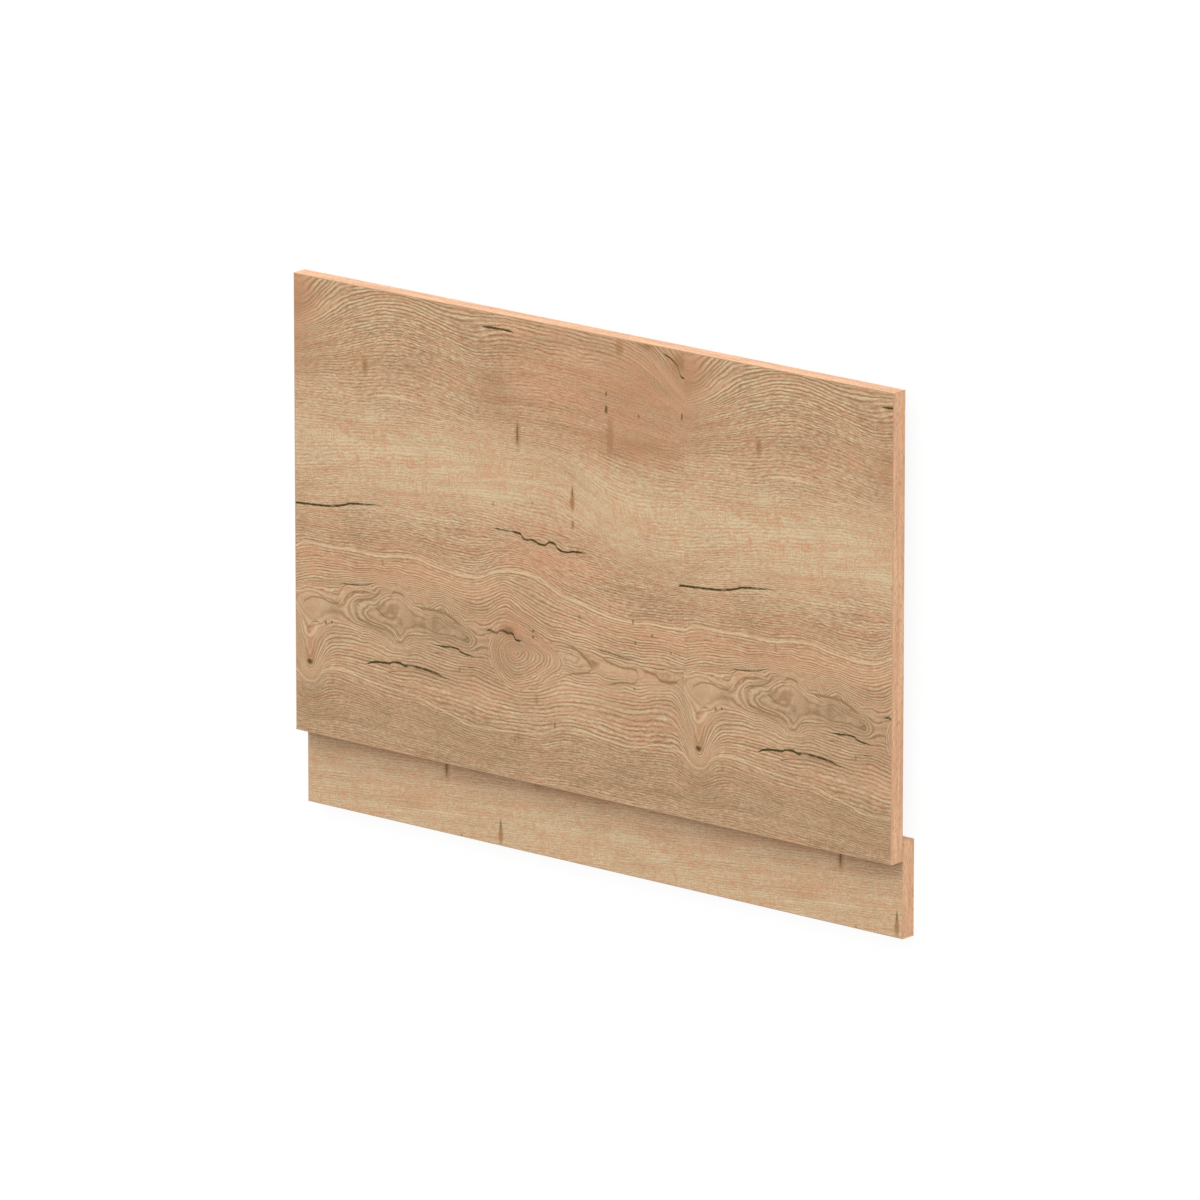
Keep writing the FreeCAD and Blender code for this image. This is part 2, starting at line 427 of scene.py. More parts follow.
class OakFigure:
    """The figure of the oak decor, on a sheet that repeats sideways.

    u runs to the right and d downwards, in millimetres. Growth is the depth in the tree: growth
    lines are its level lines. Without its guides the figure is a plain ridge on the heart line.
    """

    REPEAT = 514.0
    SOFTENING = 3.0
    CREST = 344.0
    HEART_LINE = 341.0
    FLATNESS = 14.0
    MOST_SHADE = 1.6

    # A growth line that the decor shows as a pale streak too
    PALE_LINE: tuple[Point, ...] = (
        (0, 285), (10, 281), (20, 279), (50, 279), (80, 277), (105, 278), (140, 273), (160, 272),
        (180, 275), (205, 278), (230, 279), (250, 276), (262, 270), (275, 266), (300, 263), (320, 264),
        (335, 269), (350, 276), (370, 280), (390, 284), (410, 288), (430, 290), (450, 290), (470, 287),
        (490, 287),
    )

    # Each guide is one growth line: its growth, then points (u, d) that it passes through
    GUIDES: tuple[tuple[float, tuple[Point, ...]], ...] = (
        (-5, ((12, 20), (24, 8), (32, 0))),
        (10, ((2, 42), (14, 38), (28, 30), (40, 18), (52, 8), (62, 0), (470, 4), (497, 28))),
        (30, ((0, 58), (20, 54), (40, 45), (60, 33), (80, 22), (100, 14), (120, 9), (140, 7), (160, 8),
              (180, 11), (200, 14), (220, 15), (250, 12), (280, 9), (320, 10), (360, 10), (400, 11),
              (420, 12), (445, 18), (480, 34))),
        (45, ((0, 68), (20, 62), (40, 54), (60, 46), (80, 37), (100, 30), (120, 25), (140, 23),
              (160, 24), (180, 28), (200, 32), (220, 35), (240, 37), (260, 34), (300, 30), (340, 30),
              (380, 32), (420, 32), (450, 38), (485, 52))),
        (65, ((0, 80), (20, 76), (40, 70), (60, 64), (80, 57), (100, 50), (120, 45), (140, 42),
              (160, 43), (180, 45), (200, 48), (220, 52), (240, 56), (260, 56), (300, 50), (340, 50),
              (380, 52), (420, 54), (460, 58), (500, 68))),
        (90, ((0, 96), (40, 90), (80, 84), (120, 76), (160, 72), (200, 76), (240, 84), (280, 84),
              (320, 80), (360, 80), (400, 84), (440, 90), (480, 94))),
        (115, ((0, 122), (40, 119), (80, 117), (100, 115), (115, 110), (140, 108), (170, 109),
               (200, 111), (240, 116), (280, 114), (320, 110), (360, 110), (400, 112), (440, 118),
               (480, 122))),
        (150, ((0, 163), (40, 158), (80, 153), (120, 147), (160, 143), (200, 140), (240, 141),
               (280, 140), (320, 138), (350, 140), (380, 150), (410, 164), (440, 171), (480, 168))),
        (185, ((0, 212), (40, 205), (80, 199), (120, 195), (160, 191), (200, 184), (240, 177),
               (260, 173), (280, 170), (310, 168), (330, 166), (360, 170), (390, 186), (420, 202),
               (450, 212), (480, 214))),
        (225, ((0, 240), (40, 237), (60, 234), (80, 229), (100, 226), (130, 223), (170, 221),
               (210, 218), (250, 218), (280, 222), (310, 226), (340, 225), (360, 230), (384, 229),
               (420, 232), (460, 236), (490, 239))),
        (255, ((0, 258), (40, 258), (80, 256), (120, 253), (160, 252), (200, 255), (230, 255),
               (250, 252), (270, 245), (290, 242), (310, 243), (330, 247), (360, 255), (400, 260),
               (440, 262), (480, 260))),
        (280, PALE_LINE),
        (300, ((0, 305), (20, 301), (40, 299), (80, 297), (120, 293), (150, 293), (180, 294),
               (210, 296), (240, 297), (255, 292), (268, 286), (278, 281), (290, 283), (310, 288),
               (330, 294), (350, 298), (380, 302), (410, 305), (440, 306), (470, 305), (490, 304))),
        (318, ((0, 322), (10, 319), (30, 314), (60, 311), (90, 307), (120, 303), (150, 304), (180, 306),
               (210, 309), (240, 314), (258, 311), (268, 304), (276, 299), (285, 297), (293, 301),
               (305, 306), (320, 312), (340, 318), (370, 319), (400, 321), (430, 323), (460, 323),
               (490, 319))),
        (330, ((0, 330), (15, 327), (35, 325), (55, 323), (70, 316), (90, 313), (110, 309), (130, 310),
               (150, 312), (180, 318), (210, 322), (240, 322), (270, 314), (290, 312), (310, 316),
               (330, 324), (360, 327), (385, 330), (410, 333), (440, 334), (470, 335), (490, 333),
               (505, 332))),
        (334, ((40, 335), (59, 336), (66, 332), (75, 324.5), (79, 321), (89, 319), (101, 317),
               (109, 317), (122, 311), (137, 309), (155, 313), (176, 315), (194, 314), (207, 318),
               (217, 324), (226, 329), (245, 330))),
        (342, ((101, 324.5), (91, 328), (84, 330), (78, 336), (80, 342), (86, 349), (95, 351),
               (112, 352), (123, 354), (132, 359), (139, 364), (146, 361), (150, 356), (156, 353),
               (170, 351), (185, 350), (205, 352), (225, 354), (240, 350), (112, 322), (118, 318),
               (127, 315), (139, 313.5), (150, 317), (160, 323), (172, 324), (186, 325), (200, 325),
               (215, 330), (228, 335), (240, 339))),
        (346, ((107, 332), (96, 336), (91, 341), (95, 346), (104, 349), (117, 349.5), (127, 351))),
        (350, ((100, 342), (112, 344), (122, 343), (139, 321), (165, 337), (137, 344), (147, 344),
               (142, 336), (142, 352), (233, 344))),
        (351, ((142, 344), (188, 331), (187, 341), (206, 336), (220, 340))),
        (340, ((352, 342), (372, 343))),
        (338, ((394, 342), (412, 341))),
        (336, ((432, 342), (450, 342))),
        (333, ((472, 341), (492, 340))),
        (322, ((0, 362), (6, 378), (12, 395), (17, 406), (22, 407), (27, 395), (33, 380), (42, 370),
               (60, 366), (80, 364), (100, 365), (120, 368), (140, 372), (160, 368), (200, 371),
               (240, 370), (260, 372), (280, 376), (300, 378), (320, 375), (340, 366), (360, 358),
               (400, 356), (440, 356), (470, 352), (495, 348), (507, 352))),
        (309, ((0, 378), (5, 392), (10, 405), (15, 414), (22, 417), (28, 411), (34, 399), (45, 385),
               (60, 381), (90, 380), (120, 383), (150, 382), (200, 384), (240, 382), (280, 388),
               (310, 389), (330, 385), (350, 376), (380, 371), (420, 372), (460, 370), (480, 364),
               (500, 363), (508, 368))),
        (294, ((0, 398), (6, 409), (12, 418), (20, 422), (28, 417), (35, 407), (50, 397), (80, 396),
               (120, 398), (160, 397), (200, 400), (240, 402), (280, 406), (320, 404), (350, 396),
               (380, 391), (420, 392), (460, 390), (500, 388), (508, 392))),
        (282, ((0, 414), (8, 421), (16, 425), (22, 426), (30, 421), (36, 413), (42, 409), (60, 406),
               (90, 410), (120, 414), (150, 415))),
        (278, ((170, 418), (190, 423))),
        (274, ((215, 429), (240, 434), (270, 433), (300, 430))),
        (277, ((330, 426), (345, 420), (355, 416), (380, 415), (410, 417), (440, 420))),
        (280, ((470, 413), (490, 410), (505, 410))),
        (254, ((0, 442), (22, 446), (50, 436), (100, 438), (150, 441), (200, 446), (250, 452),
               (300, 450), (350, 442), (400, 440), (450, 442), (500, 438))),
        (219, ((0, 476), (50, 473), (100, 474), (150, 476), (200, 478), (250, 480), (300, 479),
               (350, 476), (400, 475), (450, 476), (500, 475))),
    )

    RINGS = Rings(u=293, d=347, left=36, right=66, up=28, down=40, right_power=1.45, growth=46)
    BASE_TONE = 0.46
    BASE_WARMTH = 0.36
    BASE_LINES = 0.75
    PATCHES = (
        Patch(100, 170, 150, 48, tone=0.26, warmth=-0.16, lines=-0.33),
        Patch(260, 172, 110, 42, tone=0.21, warmth=-0.12, lines=-0.36),
        Patch(430, 182, 110, 42, tone=0.18, warmth=-0.03, lines=-0.34),
        Patch(462, 55, 60, 60, tone=-0.07, warmth=0.36, lines=-0.55),
        Patch(6, 22, 20, 34, tone=-0.06, warmth=0.36, lines=-0.58),
        Patch(350, 60, 85, 55, warmth=0.40, lines=-0.32),
        Patch(80, 28, 60, 26, tone=0.04, lines=0.20),
        Patch(180, 36, 80, 26, lines=0.20),
        Patch(140, 82, 130, 26, lines=-0.22),
        Patch(265, 80, 30, 30, tone=-0.08, warmth=-0.08, lines=-0.25),
        Patch(450, 105, 60, 16, tone=-0.10, warmth=0.10, lines=-0.25),
        Patch(340, 248, 70, 22, tone=0.04, warmth=0.62, lines=0.16),
        Patch(130, 292, 150, 14, tone=0.05, warmth=0.50),
        Patch(440, 300, 80, 18, tone=0.04, warmth=0.35),
        Patch(120, 337, 52, 22, tone=-0.05, warmth=-0.42, lines=-0.38),
        Patch(200, 338, 46, 20, tone=-0.06, warmth=-0.40, lines=-0.42),
        Patch(290, 350, 50, 30, tone=-0.10, lines=-0.20),
        Patch(291, 345, 13, 9, lines=-0.32),
        Patch(284, 325, 13, 7, tone=-0.14, lines=-0.30),
        Patch(296, 317, 22, 13, tone=0.02, warmth=0.30, lines=-0.35),
        Patch(26, 347, 30, 18, tone=0.02, warmth=-0.50, lines=-0.62),
        Patch(28, 374, 12, 8, tone=0.10, lines=-0.30),
        Patch(20, 351, 7, 5, tone=-0.12, warmth=-0.30),
        Patch(50, 348, 17, 4, tone=-0.10, warmth=-0.40),
        Patch(36, 341, 12, 3.5, tone=0.08, warmth=-0.10),
        Patch(138, 321, 9, 8, tone=0.04, lines=-0.30),
        Patch(430, 324, 90, 9, tone=-0.02, lines=0.25),
        Patch(430, 342, 78, 9, tone=0.20, lines=-0.60),
        Patch(430, 374, 90, 28, tone=0.03, lines=-0.26),
        Patch(200, 372, 60, 20, tone=-0.09, warmth=-0.20),
        Patch(18, 400, 14, 22, tone=0.04, warmth=0.05),
        Patch(60, 455, 120, 30, tone=-0.13, warmth=-0.28, lines=-0.20),
        Patch(220, 455, 120, 30, tone=-0.13, warmth=-0.28, lines=-0.20),
        Patch(400, 455, 120, 30, tone=-0.11, warmth=-0.26, lines=-0.13),
        Patch(150, 255, 110, 18, tone=-0.05, warmth=0.05),
        Patch(455, 258, 60, 14, tone=-0.10, warmth=-0.10),
        Patch(60, 222, 50, 14, tone=0.07),
        Patch(205, 296, 60, 10, tone=0.07),
        Patch(205, 58, 40, 12, tone=-0.07),
        Patch(140, 374, 60, 12, tone=0.06),
        Patch(205, 398, 80, 22, tone=-0.02, lines=-0.22),
        Patch(365, 372, 30, 12, tone=0.08),
        Patch(75, 336, 26, 22, tone=0.08),
        Patch(320, 328, 40, 18, tone=-0.06, warmth=0.12),
        Patch(465, 398, 50, 14, tone=-0.14),
        Patch(90, 464, 40, 14, tone=0.08),
        Patch(310, 214, 60, 14, tone=-0.03, warmth=0.18),
    )

    def __init__(self) -> None:
        """Find the weights with which the guides' points pull the growth off the plain ridge.

        The growth is the ridge plus a sum over the guides' points of a weight times the softened
        distance to that point, the root of the squared distance and the squared softening. The
        weights solve the linear system that gives each guide its own growth at its points.
        """
        points = np.array([point for _, guide in self.GUIDES for point in guide], float)
        counts = [len(guide) for _, guide in self.GUIDES]
        growth = np.repeat(np.array([growth for growth, _ in self.GUIDES], float), counts)
        self.centres = self.rolled(points[:, 0], points[:, 1])
        self.weights = np.linalg.solve(self.pull(self.centres), growth - self.ridge(points[:, 1]))

    def ridge(self, d: np.ndarray) -> np.ndarray:
        """Growth that falls away above and below the heart line.

        It is the crest's growth less the root of the squared way from the heart line and the
        squared flatness, plus the flatness.

        Args:
            d: Depths on the sheet, in millimetres.

        Returns:
            The growth at each depth.
        """
        return self.CREST + self.FLATNESS - np.sqrt((d - self.HEART_LINE) ** 2 + self.FLATNESS ** 2)

    def rolled(self, u: np.ndarray, d: np.ndarray) -> np.ndarray:
        """Roll the sheet into a tube whose girth is one repeat, so that the figure joins itself.

        Args:
            u, d: Places on the sheet, in millimetres.

        Returns:
            The places in space, one row each.
        """
        turn = 2.0 * np.pi * u / self.REPEAT
        radius = self.REPEAT / (2.0 * np.pi)
        return np.stack([radius * np.cos(turn), radius * np.sin(turn), d], axis=-1)

    def pull(self, places: np.ndarray) -> np.ndarray:
        """Softened distance from each place to each guide point.

        The squared distance is the sum of the two squared lengths less twice their product.

        Args:
            places: Places on the rolled sheet, one row each.

        Returns:
            One row of distances for each place.
        """
        lengths = (places ** 2).sum(1)[:, None] + (self.centres ** 2).sum(1)
        squared = lengths - 2.0 * places @ self.centres.T
        return np.sqrt(np.maximum(squared, 0.0) + self.SOFTENING ** 2)

    def nearest(self, u: np.ndarray, middle: float) -> np.ndarray:
        """Signed way along u from a middle to the nearest copy of each place."""
        half = self.REPEAT / 2.0
        return (u - middle + half) % self.REPEAT - half

    def growth(self, u: np.ndarray, d: np.ndarray) -> np.ndarray:
        """Growth at places on the sheet, from the guides and from the knot's rings.

        The knot's growth rises with the oval radius: both ways from its middle, over the half-axes
        there, raised to a power, summed and taken to one over the power, which is 2 on the left.

        Args:
            u, d: Flat arrays of places, in millimetres.

        Returns:
            One row for each place: growth by the guides, growth by the rings, and how far inside
            the knot's oval it lies, which is 0 at its rim.
        """
        flow = self.ridge(d) + self.pull(self.rolled(u, d)) @ self.weights
        rings = self.RINGS
        is_left = self.nearest(u, rings.u) < 0.0
        across = abs(self.nearest(u, rings.u)) / np.where(is_left, rings.left, rings.right)
        down = abs(d - rings.d) / np.where(d < rings.d, rings.up, rings.down)
        power = np.where(is_left, 2.0, rings.right_power)
        radius = (across ** power + down ** power) ** (1.0 / power)
        ringed = self.CREST + rings.growth * radius
        return np.stack([flow, ringed, np.clip(1.0 - radius, -1.0, 1.0)], axis=1)

    def shade(self, u: np.ndarray, d: np.ndarray) -> np.ndarray:
        """Tone, warmth and strength of the lines at places on the sheet.

        Each is a base value plus, for each patch, its amount times a bell that falls to about a
        third of its height at the patch's half sizes.

        Args:
            u, d: Flat arrays of places, in millimetres.

        Returns:
            One row of three values for each place.
        """
        values = np.tile([self.BASE_TONE, self.BASE_WARMTH, self.BASE_LINES], (u.size, 1))
        for patch in self.PATCHES:
            across = self.nearest(u, patch.u) / patch.half_u
            down = (d - patch.d) / patch.half_d
            bell = np.exp(-across ** 2 - down ** 2)
            values += bell[:, None] * np.array([patch.tone, patch.warmth, patch.lines])
        return np.clip(values, 0.0, self.MOST_SHADE)


@dataclass(frozen=True)
class OakDecor:
    """Printed oak decor of the boards: matt, with fine lines, pores, cracks and small marks.

    left_x, top_y and front_z are where the board's left end, the top of its decor sheet and its face
    lie, in metres. shift_u is how far along the sheet the left end was cut, in millimetres.
    """

    name: str
    cut: Cut
    left_x: float
    top_y: float
    front_z: float
    shift_u: float

    SHADOW = srgb(146, 120, 86)
    BROWN = srgb(185, 151, 118)
    PALE = srgb(213, 194, 157)
    AMBER_SHADOW = srgb(159, 115, 82)
    AMBER_BROWN = srgb(194, 146, 111)
    AMBER_PALE = srgb(215, 172, 136)
    BARK = srgb(65, 56, 14)
    KNOT = srgb(88, 71, 34)
    STAIN = srgb(150, 103, 58)
    SEAM = srgb(138, 106, 68)
    RAY = srgb(200, 142, 102)
    STREAK = srgb(223, 198, 158)
    RAMP_STOPS = (0.1, 0.46, 0.9)

    # Where in the growth the wood changes: from a first value on, and fully at a second
    HEART_GROWTH = (322.0, 338.0)
    INNER_GROWTH = (250.0, 310.0)
    BARK_GROWTH = (60.0, 22.5)

    # Growth from one line to the next, within the fine range and outside it
    FINE_GROWTH = (60.0, 270.0)
    OUTER_SPACING = 2.7
    INNER_SPACING = 3.3

    # The straight cut; its fade is partly the decor's tone, partly painted shade under the panel
    STRAIGHT_SLOPE = 0.09
    STRAIGHT_DECOR_FADE_AND_PAINTED_SHADE = (104.0, 150.0)
    STRAIGHT_DECOR_TONE_AND_PAINTED_SHADE = Slope(0.26, 0.40)
    STRAIGHT_WARMTH = 0.16
    STRAIGHT_LINES = 0.36

    # Noises that bend the growth lines and roughen the knot, and how far they move them
    WANDER = Grain(22, 9, 3.1, detail=2)
    LOOSENESS = Slope(2.4, 2.7)
    RIPPLE = Grain(5, 4, 7.7)
    RIPPLE_HEIGHT = 0.9
    KNOT_RIM = Grain(9, 6, 2.9, detail=2)
    KNOT_RIM_HEIGHT = 0.4
    RING_WOBBLE = Grain(20, 14, 4.4)
    RING_WOBBLE_HEIGHT = 5.0
    DRIFT_TURNS = 1.6

    # Noises of tone and hue
    BROAD = Grain(160, 8, 1.3, detail=2)
    DRIFT = Grain(70, 13, 4.9)
    FADE = Grain(36, 5, 5.8)
    FIBRE = Grain(6.5, 0.95, 8.3)
    TINT = Grain(16, 3.5, 6.1, detail=2)
    CLOUD = Grain(60, 26, 2.2, detail=2)
    STIPPLE = Grain(2.0, 1.4, 1.9)

    # How strongly they show, mostly by how plain the wood is
    TROUGH = Slope(-0.5, 0.5)
    TROUGH_MEAN = 0.375
    LINE_SHOWN = Slope(2.4, 0.65, is_mask=True)
    LINE_STRENGTH = Slope(0.38, 0.68)
    FIBRE_STRENGTH = Slope(-0.7, 1.75)
    STIPPLE_STRENGTH = Slope(-0.22, 0.62)
    BROAD_STRENGTH = Slope(-0.04, 0.36)
    CLOUD_STRENGTH = 0.30
    DRIFT_STRENGTH = 0.30
    LIGHT = Slope(6.0, -3.1, is_mask=True)
    CLOUD_HUE = 0.8
    TINT_HUE = Slope(-0.9, 1.8)
    DRIFT_HUE = 1.1
    REDDENING = Slope(2.0, 0.8)

    # Pale growth lines and the rays across the light wood
    STREAK_RIPPLE = 0.6
    STREAK_RIM = 1.6
    STREAK_SHOWN = Slope(1.8, 0.88, is_mask=True)
    RAYS = Grain(10, 1.1, 6.6)
    RAY_LEAN = 30.0
    RAY_SHOWN = Slope(6.0, 0.0, is_mask=True)
    CLUSTERS = Grain(34, 20, 3.7)
    CLUSTER_SHOWN = Slope(5.0, 0.7, is_mask=True)
    RAY_STRENGTH = 0.75

    # Marks, seams and cracks, with their ragged outlines
    RAGGED = Grain(3.0, 3.0, 9.4)
    RAGGED_HEIGHT = 1.2
    RAGGED_LEAN = 0.6
    WIDEST_STRIP = 2.0
    MARK_RIM = 1.8
    SEAM_RIM = 0.9
    SEAM_STRENGTH = 0.75
    CRACK_RIM = 0.55
    CLOSING = Grain(11, 60, 2.7)
    CRACK_SHOWN = Slope(2.4, 1.1, is_mask=True)
    FACE_DEPTH = 1.0 * MM

    ROUGHNESS = Slope(-0.12, 0.60)
    SPECULAR = 0.2
    RELIEF_DEPTH = 0.04 * MM

    # Drying cracks
    CRACK_ROWS = (
        StripRow(10, 30, (
            Strip(((247, 17), (258, 16.2), (268, 15.7), (278, 15.5), (287, 15.9), (295, 16.6)), 1.4),
            Strip(((484, 6.4), (490, 8), (500, 12.5), (506, 17), (513, 28)), 1.1),
        )),
        StripRow(220, 242, (
            Strip(((0.5, 240.4), (2, 240.3), (20, 239), (40, 237.4), (60, 234), (80, 228.5),
                   (92, 227.4), (124, 224.4)), 1.4),
            Strip(((262, 222.8), (274, 222.8), (294, 222.4), (301, 223), (309, 228), (316, 226.6),
                   (323, 228.6), (330, 229.4), (336, 227), (342, 225.2), (348, 227.6), (358, 231.8),
                   (370, 229.6), (380, 229), (391, 228.6)), 1.4),
            Strip(((506, 241.4), (509, 240.8), (513.5, 240.4)), 1.4),
        )),
        StripRow(305, 336, (
            Strip(((56, 316), (70, 314.4), (84, 313), (98, 310.4), (116, 307)), 0.85),
            Strip(((252, 332), (262, 330), (268, 331.4), (273, 328.2), (279, 327.6), (284, 329),
                   (288, 328.2), (293, 332), (297, 334.4), (305, 333)), 1.6),
            Strip(((392, 326), (405, 325.6), (422, 326.6), (440, 328), (456, 327)), 0.7),
            Strip(((459, 331), (475, 332), (490, 330.4), (500, 328)), 0.65),
        )),
        StripRow(355, 370, (
            Strip(((12, 370), (20, 366), (29, 361), (39, 368)), 0.6),
            Strip(((182, 358), (198, 357.8), (213, 356.6), (221, 359), (230, 361), (244, 361.6)), 1.25),
        )),
        StripRow(364, 400, (
            Strip(((120, 398.6), (130, 396), (142, 394)), 0.7),
            Strip(((176, 366.4), (190, 366), (208, 365.6)), 0.7),
            Strip(((222, 373), (233, 373.6), (244, 373)), 0.75),
        )),
        StripRow(383, 394, (
            Strip(((92, 393.8), (101, 391.6), (114, 389), (126, 388.2), (140, 385.2), (146, 387),
                   (156, 385.6), (164, 385.8), (178, 386.6), (190, 388), (212, 390.6)), 1.5),
        )),
    )

    # Dark marks, then the lighter stains round and beside them
    MARKS = (
        Mark(297, 120, 1.9, 13, 0.7), Mark(369, 168, 1.8, 7, 0.7), Mark(413, 60, 2.2, 3.6, 0.65),
        Mark(413, 76, 2.3, 6, 0.9), Mark(511, 68, 2.0, 5, 0.75), Mark(455, 76, 1.7, 1.9, 0.8),
        Mark(19, 404.5, 4.6, 3.6, 1.0), Mark(346, 414, 2.2, 5, 0.5), Mark(293, 439, 1.9, 5, 0.4),
        Mark(220, 378, 2.0, 5, 0.4), Mark(448, 289, 1.8, 3.6, 0.6), Mark(473, 299, 2.2, 2.4, 0.6),
        Mark(451, 310, 2.0, 2.8, 0.6), Mark(497, 313, 2.0, 2.8, 0.5), Mark(378, 296, 2.6, 3, 0.4),
        Mark(317.6, 321, 2.3, 2.4, 0.75), Mark(317.6, 327, 2.1, 2.2, 0.75),
        Mark(41, 360, 1.8, 3.4, 0.75), Mark(49, 358, 1.8, 2.4, 0.75), Mark(317, 188, 1.6, 1.8, 0.5),
        Mark(140, 344, 6, 8, 0.22), Mark(115, 331, 12, 7, 0.22), Mark(172, 338, 5, 14, 0.14),
        Mark(188, 336, 6, 13, 0.16), Mark(230, 344, 10, 8, 0.12), Mark(140, 351, 4, 4, 0.12),
        Mark(95, 82, 2.6, 6, 0.25), Mark(285, 326, 9, 5, 0.34), Mark(394, 341, 7, 4, 0.16),
        Mark(424, 357, 1.6, 1.6, 0.4), Mark(450, 358, 1.8, 1.6, 0.6),
    )
    STAINS = (
        Mark(297.5, 121, 5.4, 22, 0.4), Mark(369, 179, 4.2, 12, 0.74),
        Mark(369.5, 202, 3.0, 6, 0.75), Mark(418, 104, 6, 26, 0.45), Mark(95.5, 83, 5.5, 14, 0.55),
        Mark(322, 391, 3.4, 6, 0.5), Mark(118, 284, 2.2, 5, 0.5), Mark(265, 198, 1.8, 4, 0.6),
        Mark(285, 325, 12, 7.5, 0.24), Mark(430, 10, 7, 10, 0.5), Mark(466, 2, 8, 6, 0.6),
        Mark(506, 14, 11, 12, 0.45), Mark(268, 80, 26, 26, 0.2), Mark(360, 105, 60, 6, 0.16),
        Mark(468, 108, 54, 9, 0.22), Mark(387, 336, 8, 4, 0.5), Mark(396, 341.5, 10, 5, 0.62),
        Mark(494, 343, 14, 3, 0.4), Mark(298, 434, 4, 14, 0.3), Mark(72, 26, 5, 5, 0.4),
        Mark(172, 30, 6, 5, 0.35), Mark(20, 399, 9, 16, 0.35),
    )

    # Brown seams round the burl and along the heart
    SEAM_ROWS = (
        StripRow(305, 350, (
            Strip(((40, 327), (54, 328), (60, 326), (63, 320), (72, 315.5)), 1.3),
            Strip(((76, 339), (78, 333), (85, 328.5), (95, 326), (104, 323.5), (110, 320),
                   (118, 316)), 1.59),
            Strip(((126, 323), (129, 315.5), (137, 312), (145, 314), (152, 322)), 1.59),
            Strip(((156, 322), (172, 322.5), (190, 322), (206, 324.5), (216, 329), (230, 334)), 1.89),
            Strip(((297, 349.5), (303, 346.5), (309, 343)), 1.16),
            Strip(((355, 327.6), (370, 329.4), (378, 332), (384, 336), (391, 341), (400, 347)), 2),
            Strip(((401, 330), (411, 334.6), (424, 337), (436, 338.6), (450, 337.6), (454, 340),
                   (457, 348)), 1.59),
            Strip(((457.4, 333), (464, 337), (478, 338.7), (482, 342.6), (490, 343.6), (503, 342),
                   (512, 337)), 1.89),
        )),
        StripRow(318, 350, (
            Strip(((58, 337), (66, 331.5), (74, 323.5), (82, 320), (94, 318.4), (104, 318)), 1.3),
            Strip(((105, 331), (112, 335), (118, 339), (126, 341)), 1.45),
            Strip(((127, 325), (130, 331), (133, 336), (135.6, 342)), 1.16),
        )),
        StripRow(330, 366, (
            Strip(((76, 337), (80, 343), (88, 349.5), (104, 352), (124, 354), (133, 359), (139, 364),
                   (146, 360), (154, 354), (172, 352)), 1.45),
            Strip(((352, 360), (370, 356), (381, 354), (391, 351), (400, 346)), 1.59),
            Strip(((404, 360), (424, 357), (436, 354), (447, 353), (452, 351), (457, 346)), 1.45),
        )),
        StripRow(330, 352, (
            Strip(((8, 347), (12, 342), (18, 338.5), (31, 335), (44, 337), (52, 338), (60, 334),
                   (66, 330.5)), 1.3),
            Strip(((90, 342), (94, 346), (104, 349), (118, 350), (128, 351)), 1.16),
        )),
    )

    # Pale growth lines
    STREAK_ROWS = (
        StripRow(105, 190, (
            Strip(((98, 116), (115, 110), (140, 108), (160, 108.6), (174, 109.4)), 1.5),
            Strip(((178, 188), (200, 184), (240, 177), (280, 170), (310, 168), (334, 166)), 1.0),
        )),
        StripRow(260, 292, (
            Strip((*OakFigure.PALE_LINE, (513, 285)), 1.5),
        )),
        StripRow(404, 436, (
            Strip(((0, 414), (8, 421), (18, 425), (28, 422), (36, 413), (44, 408.5), (60, 406),
                   (90, 410), (120, 413), (150, 415), (170, 418), (190, 423), (215, 429), (240, 434),
                   (270, 433), (300, 430), (330, 426), (345, 420), (355, 416), (380, 415), (410, 417),
                   (440, 419), (470, 413), (490, 410), (513, 413)), 1.15),
        )),
    )

    def decor_place(self, sheet: NodeSheet) -> tuple[Socket, Socket, Socket]:
        """Find a point's place on the decor sheet from its Object coordinates.

        Args:
            sheet: The material's nodes.

        Returns:
            u within one repeat and d, in millimetres, and 1 on the front face, 0 behind it.
        """
        x, y, z = sheet.split(sheet.add("ShaderNodeTexCoord").outputs["Object"])
        u_far = sheet.follow(x, Slope(1.0 / MM, self.shift_u - self.left_x / MM))
        u = sheet.math("WRAP", u_far, OakFigure.REPEAT, 0.0)
        d = sheet.follow(y, Slope(-1.0 / MM, self.top_y / MM))
        front = sheet.math("GREATER_THAN", z, self.front_z - self.FACE_DEPTH)
        return u, d, front

    def growth_and_shade(self, sheet: NodeSheet, u: Socket, d: Socket) -> tuple[Value, ...]:
        """Growth, tone, warmth and strength of the lines at a point.

        A straight cut works them out from the place: growth slopes with u, and the tone rises over
        the fade, from its darkest by the panel's foot: partly the decor's own tone, partly painted
        shade under the panel's lower edge. A figured board stores them. Inside the knot's rough rim
        its rings take over, wound into a spiral by one spacing a turn, with a wobble of noise.

        Args:
            sheet: The material's nodes.
            u, d: The place on the decor sheet, in millimetres.

        Returns:
            The four values.
        """
        if self.cut is Cut.STRAIGHT:
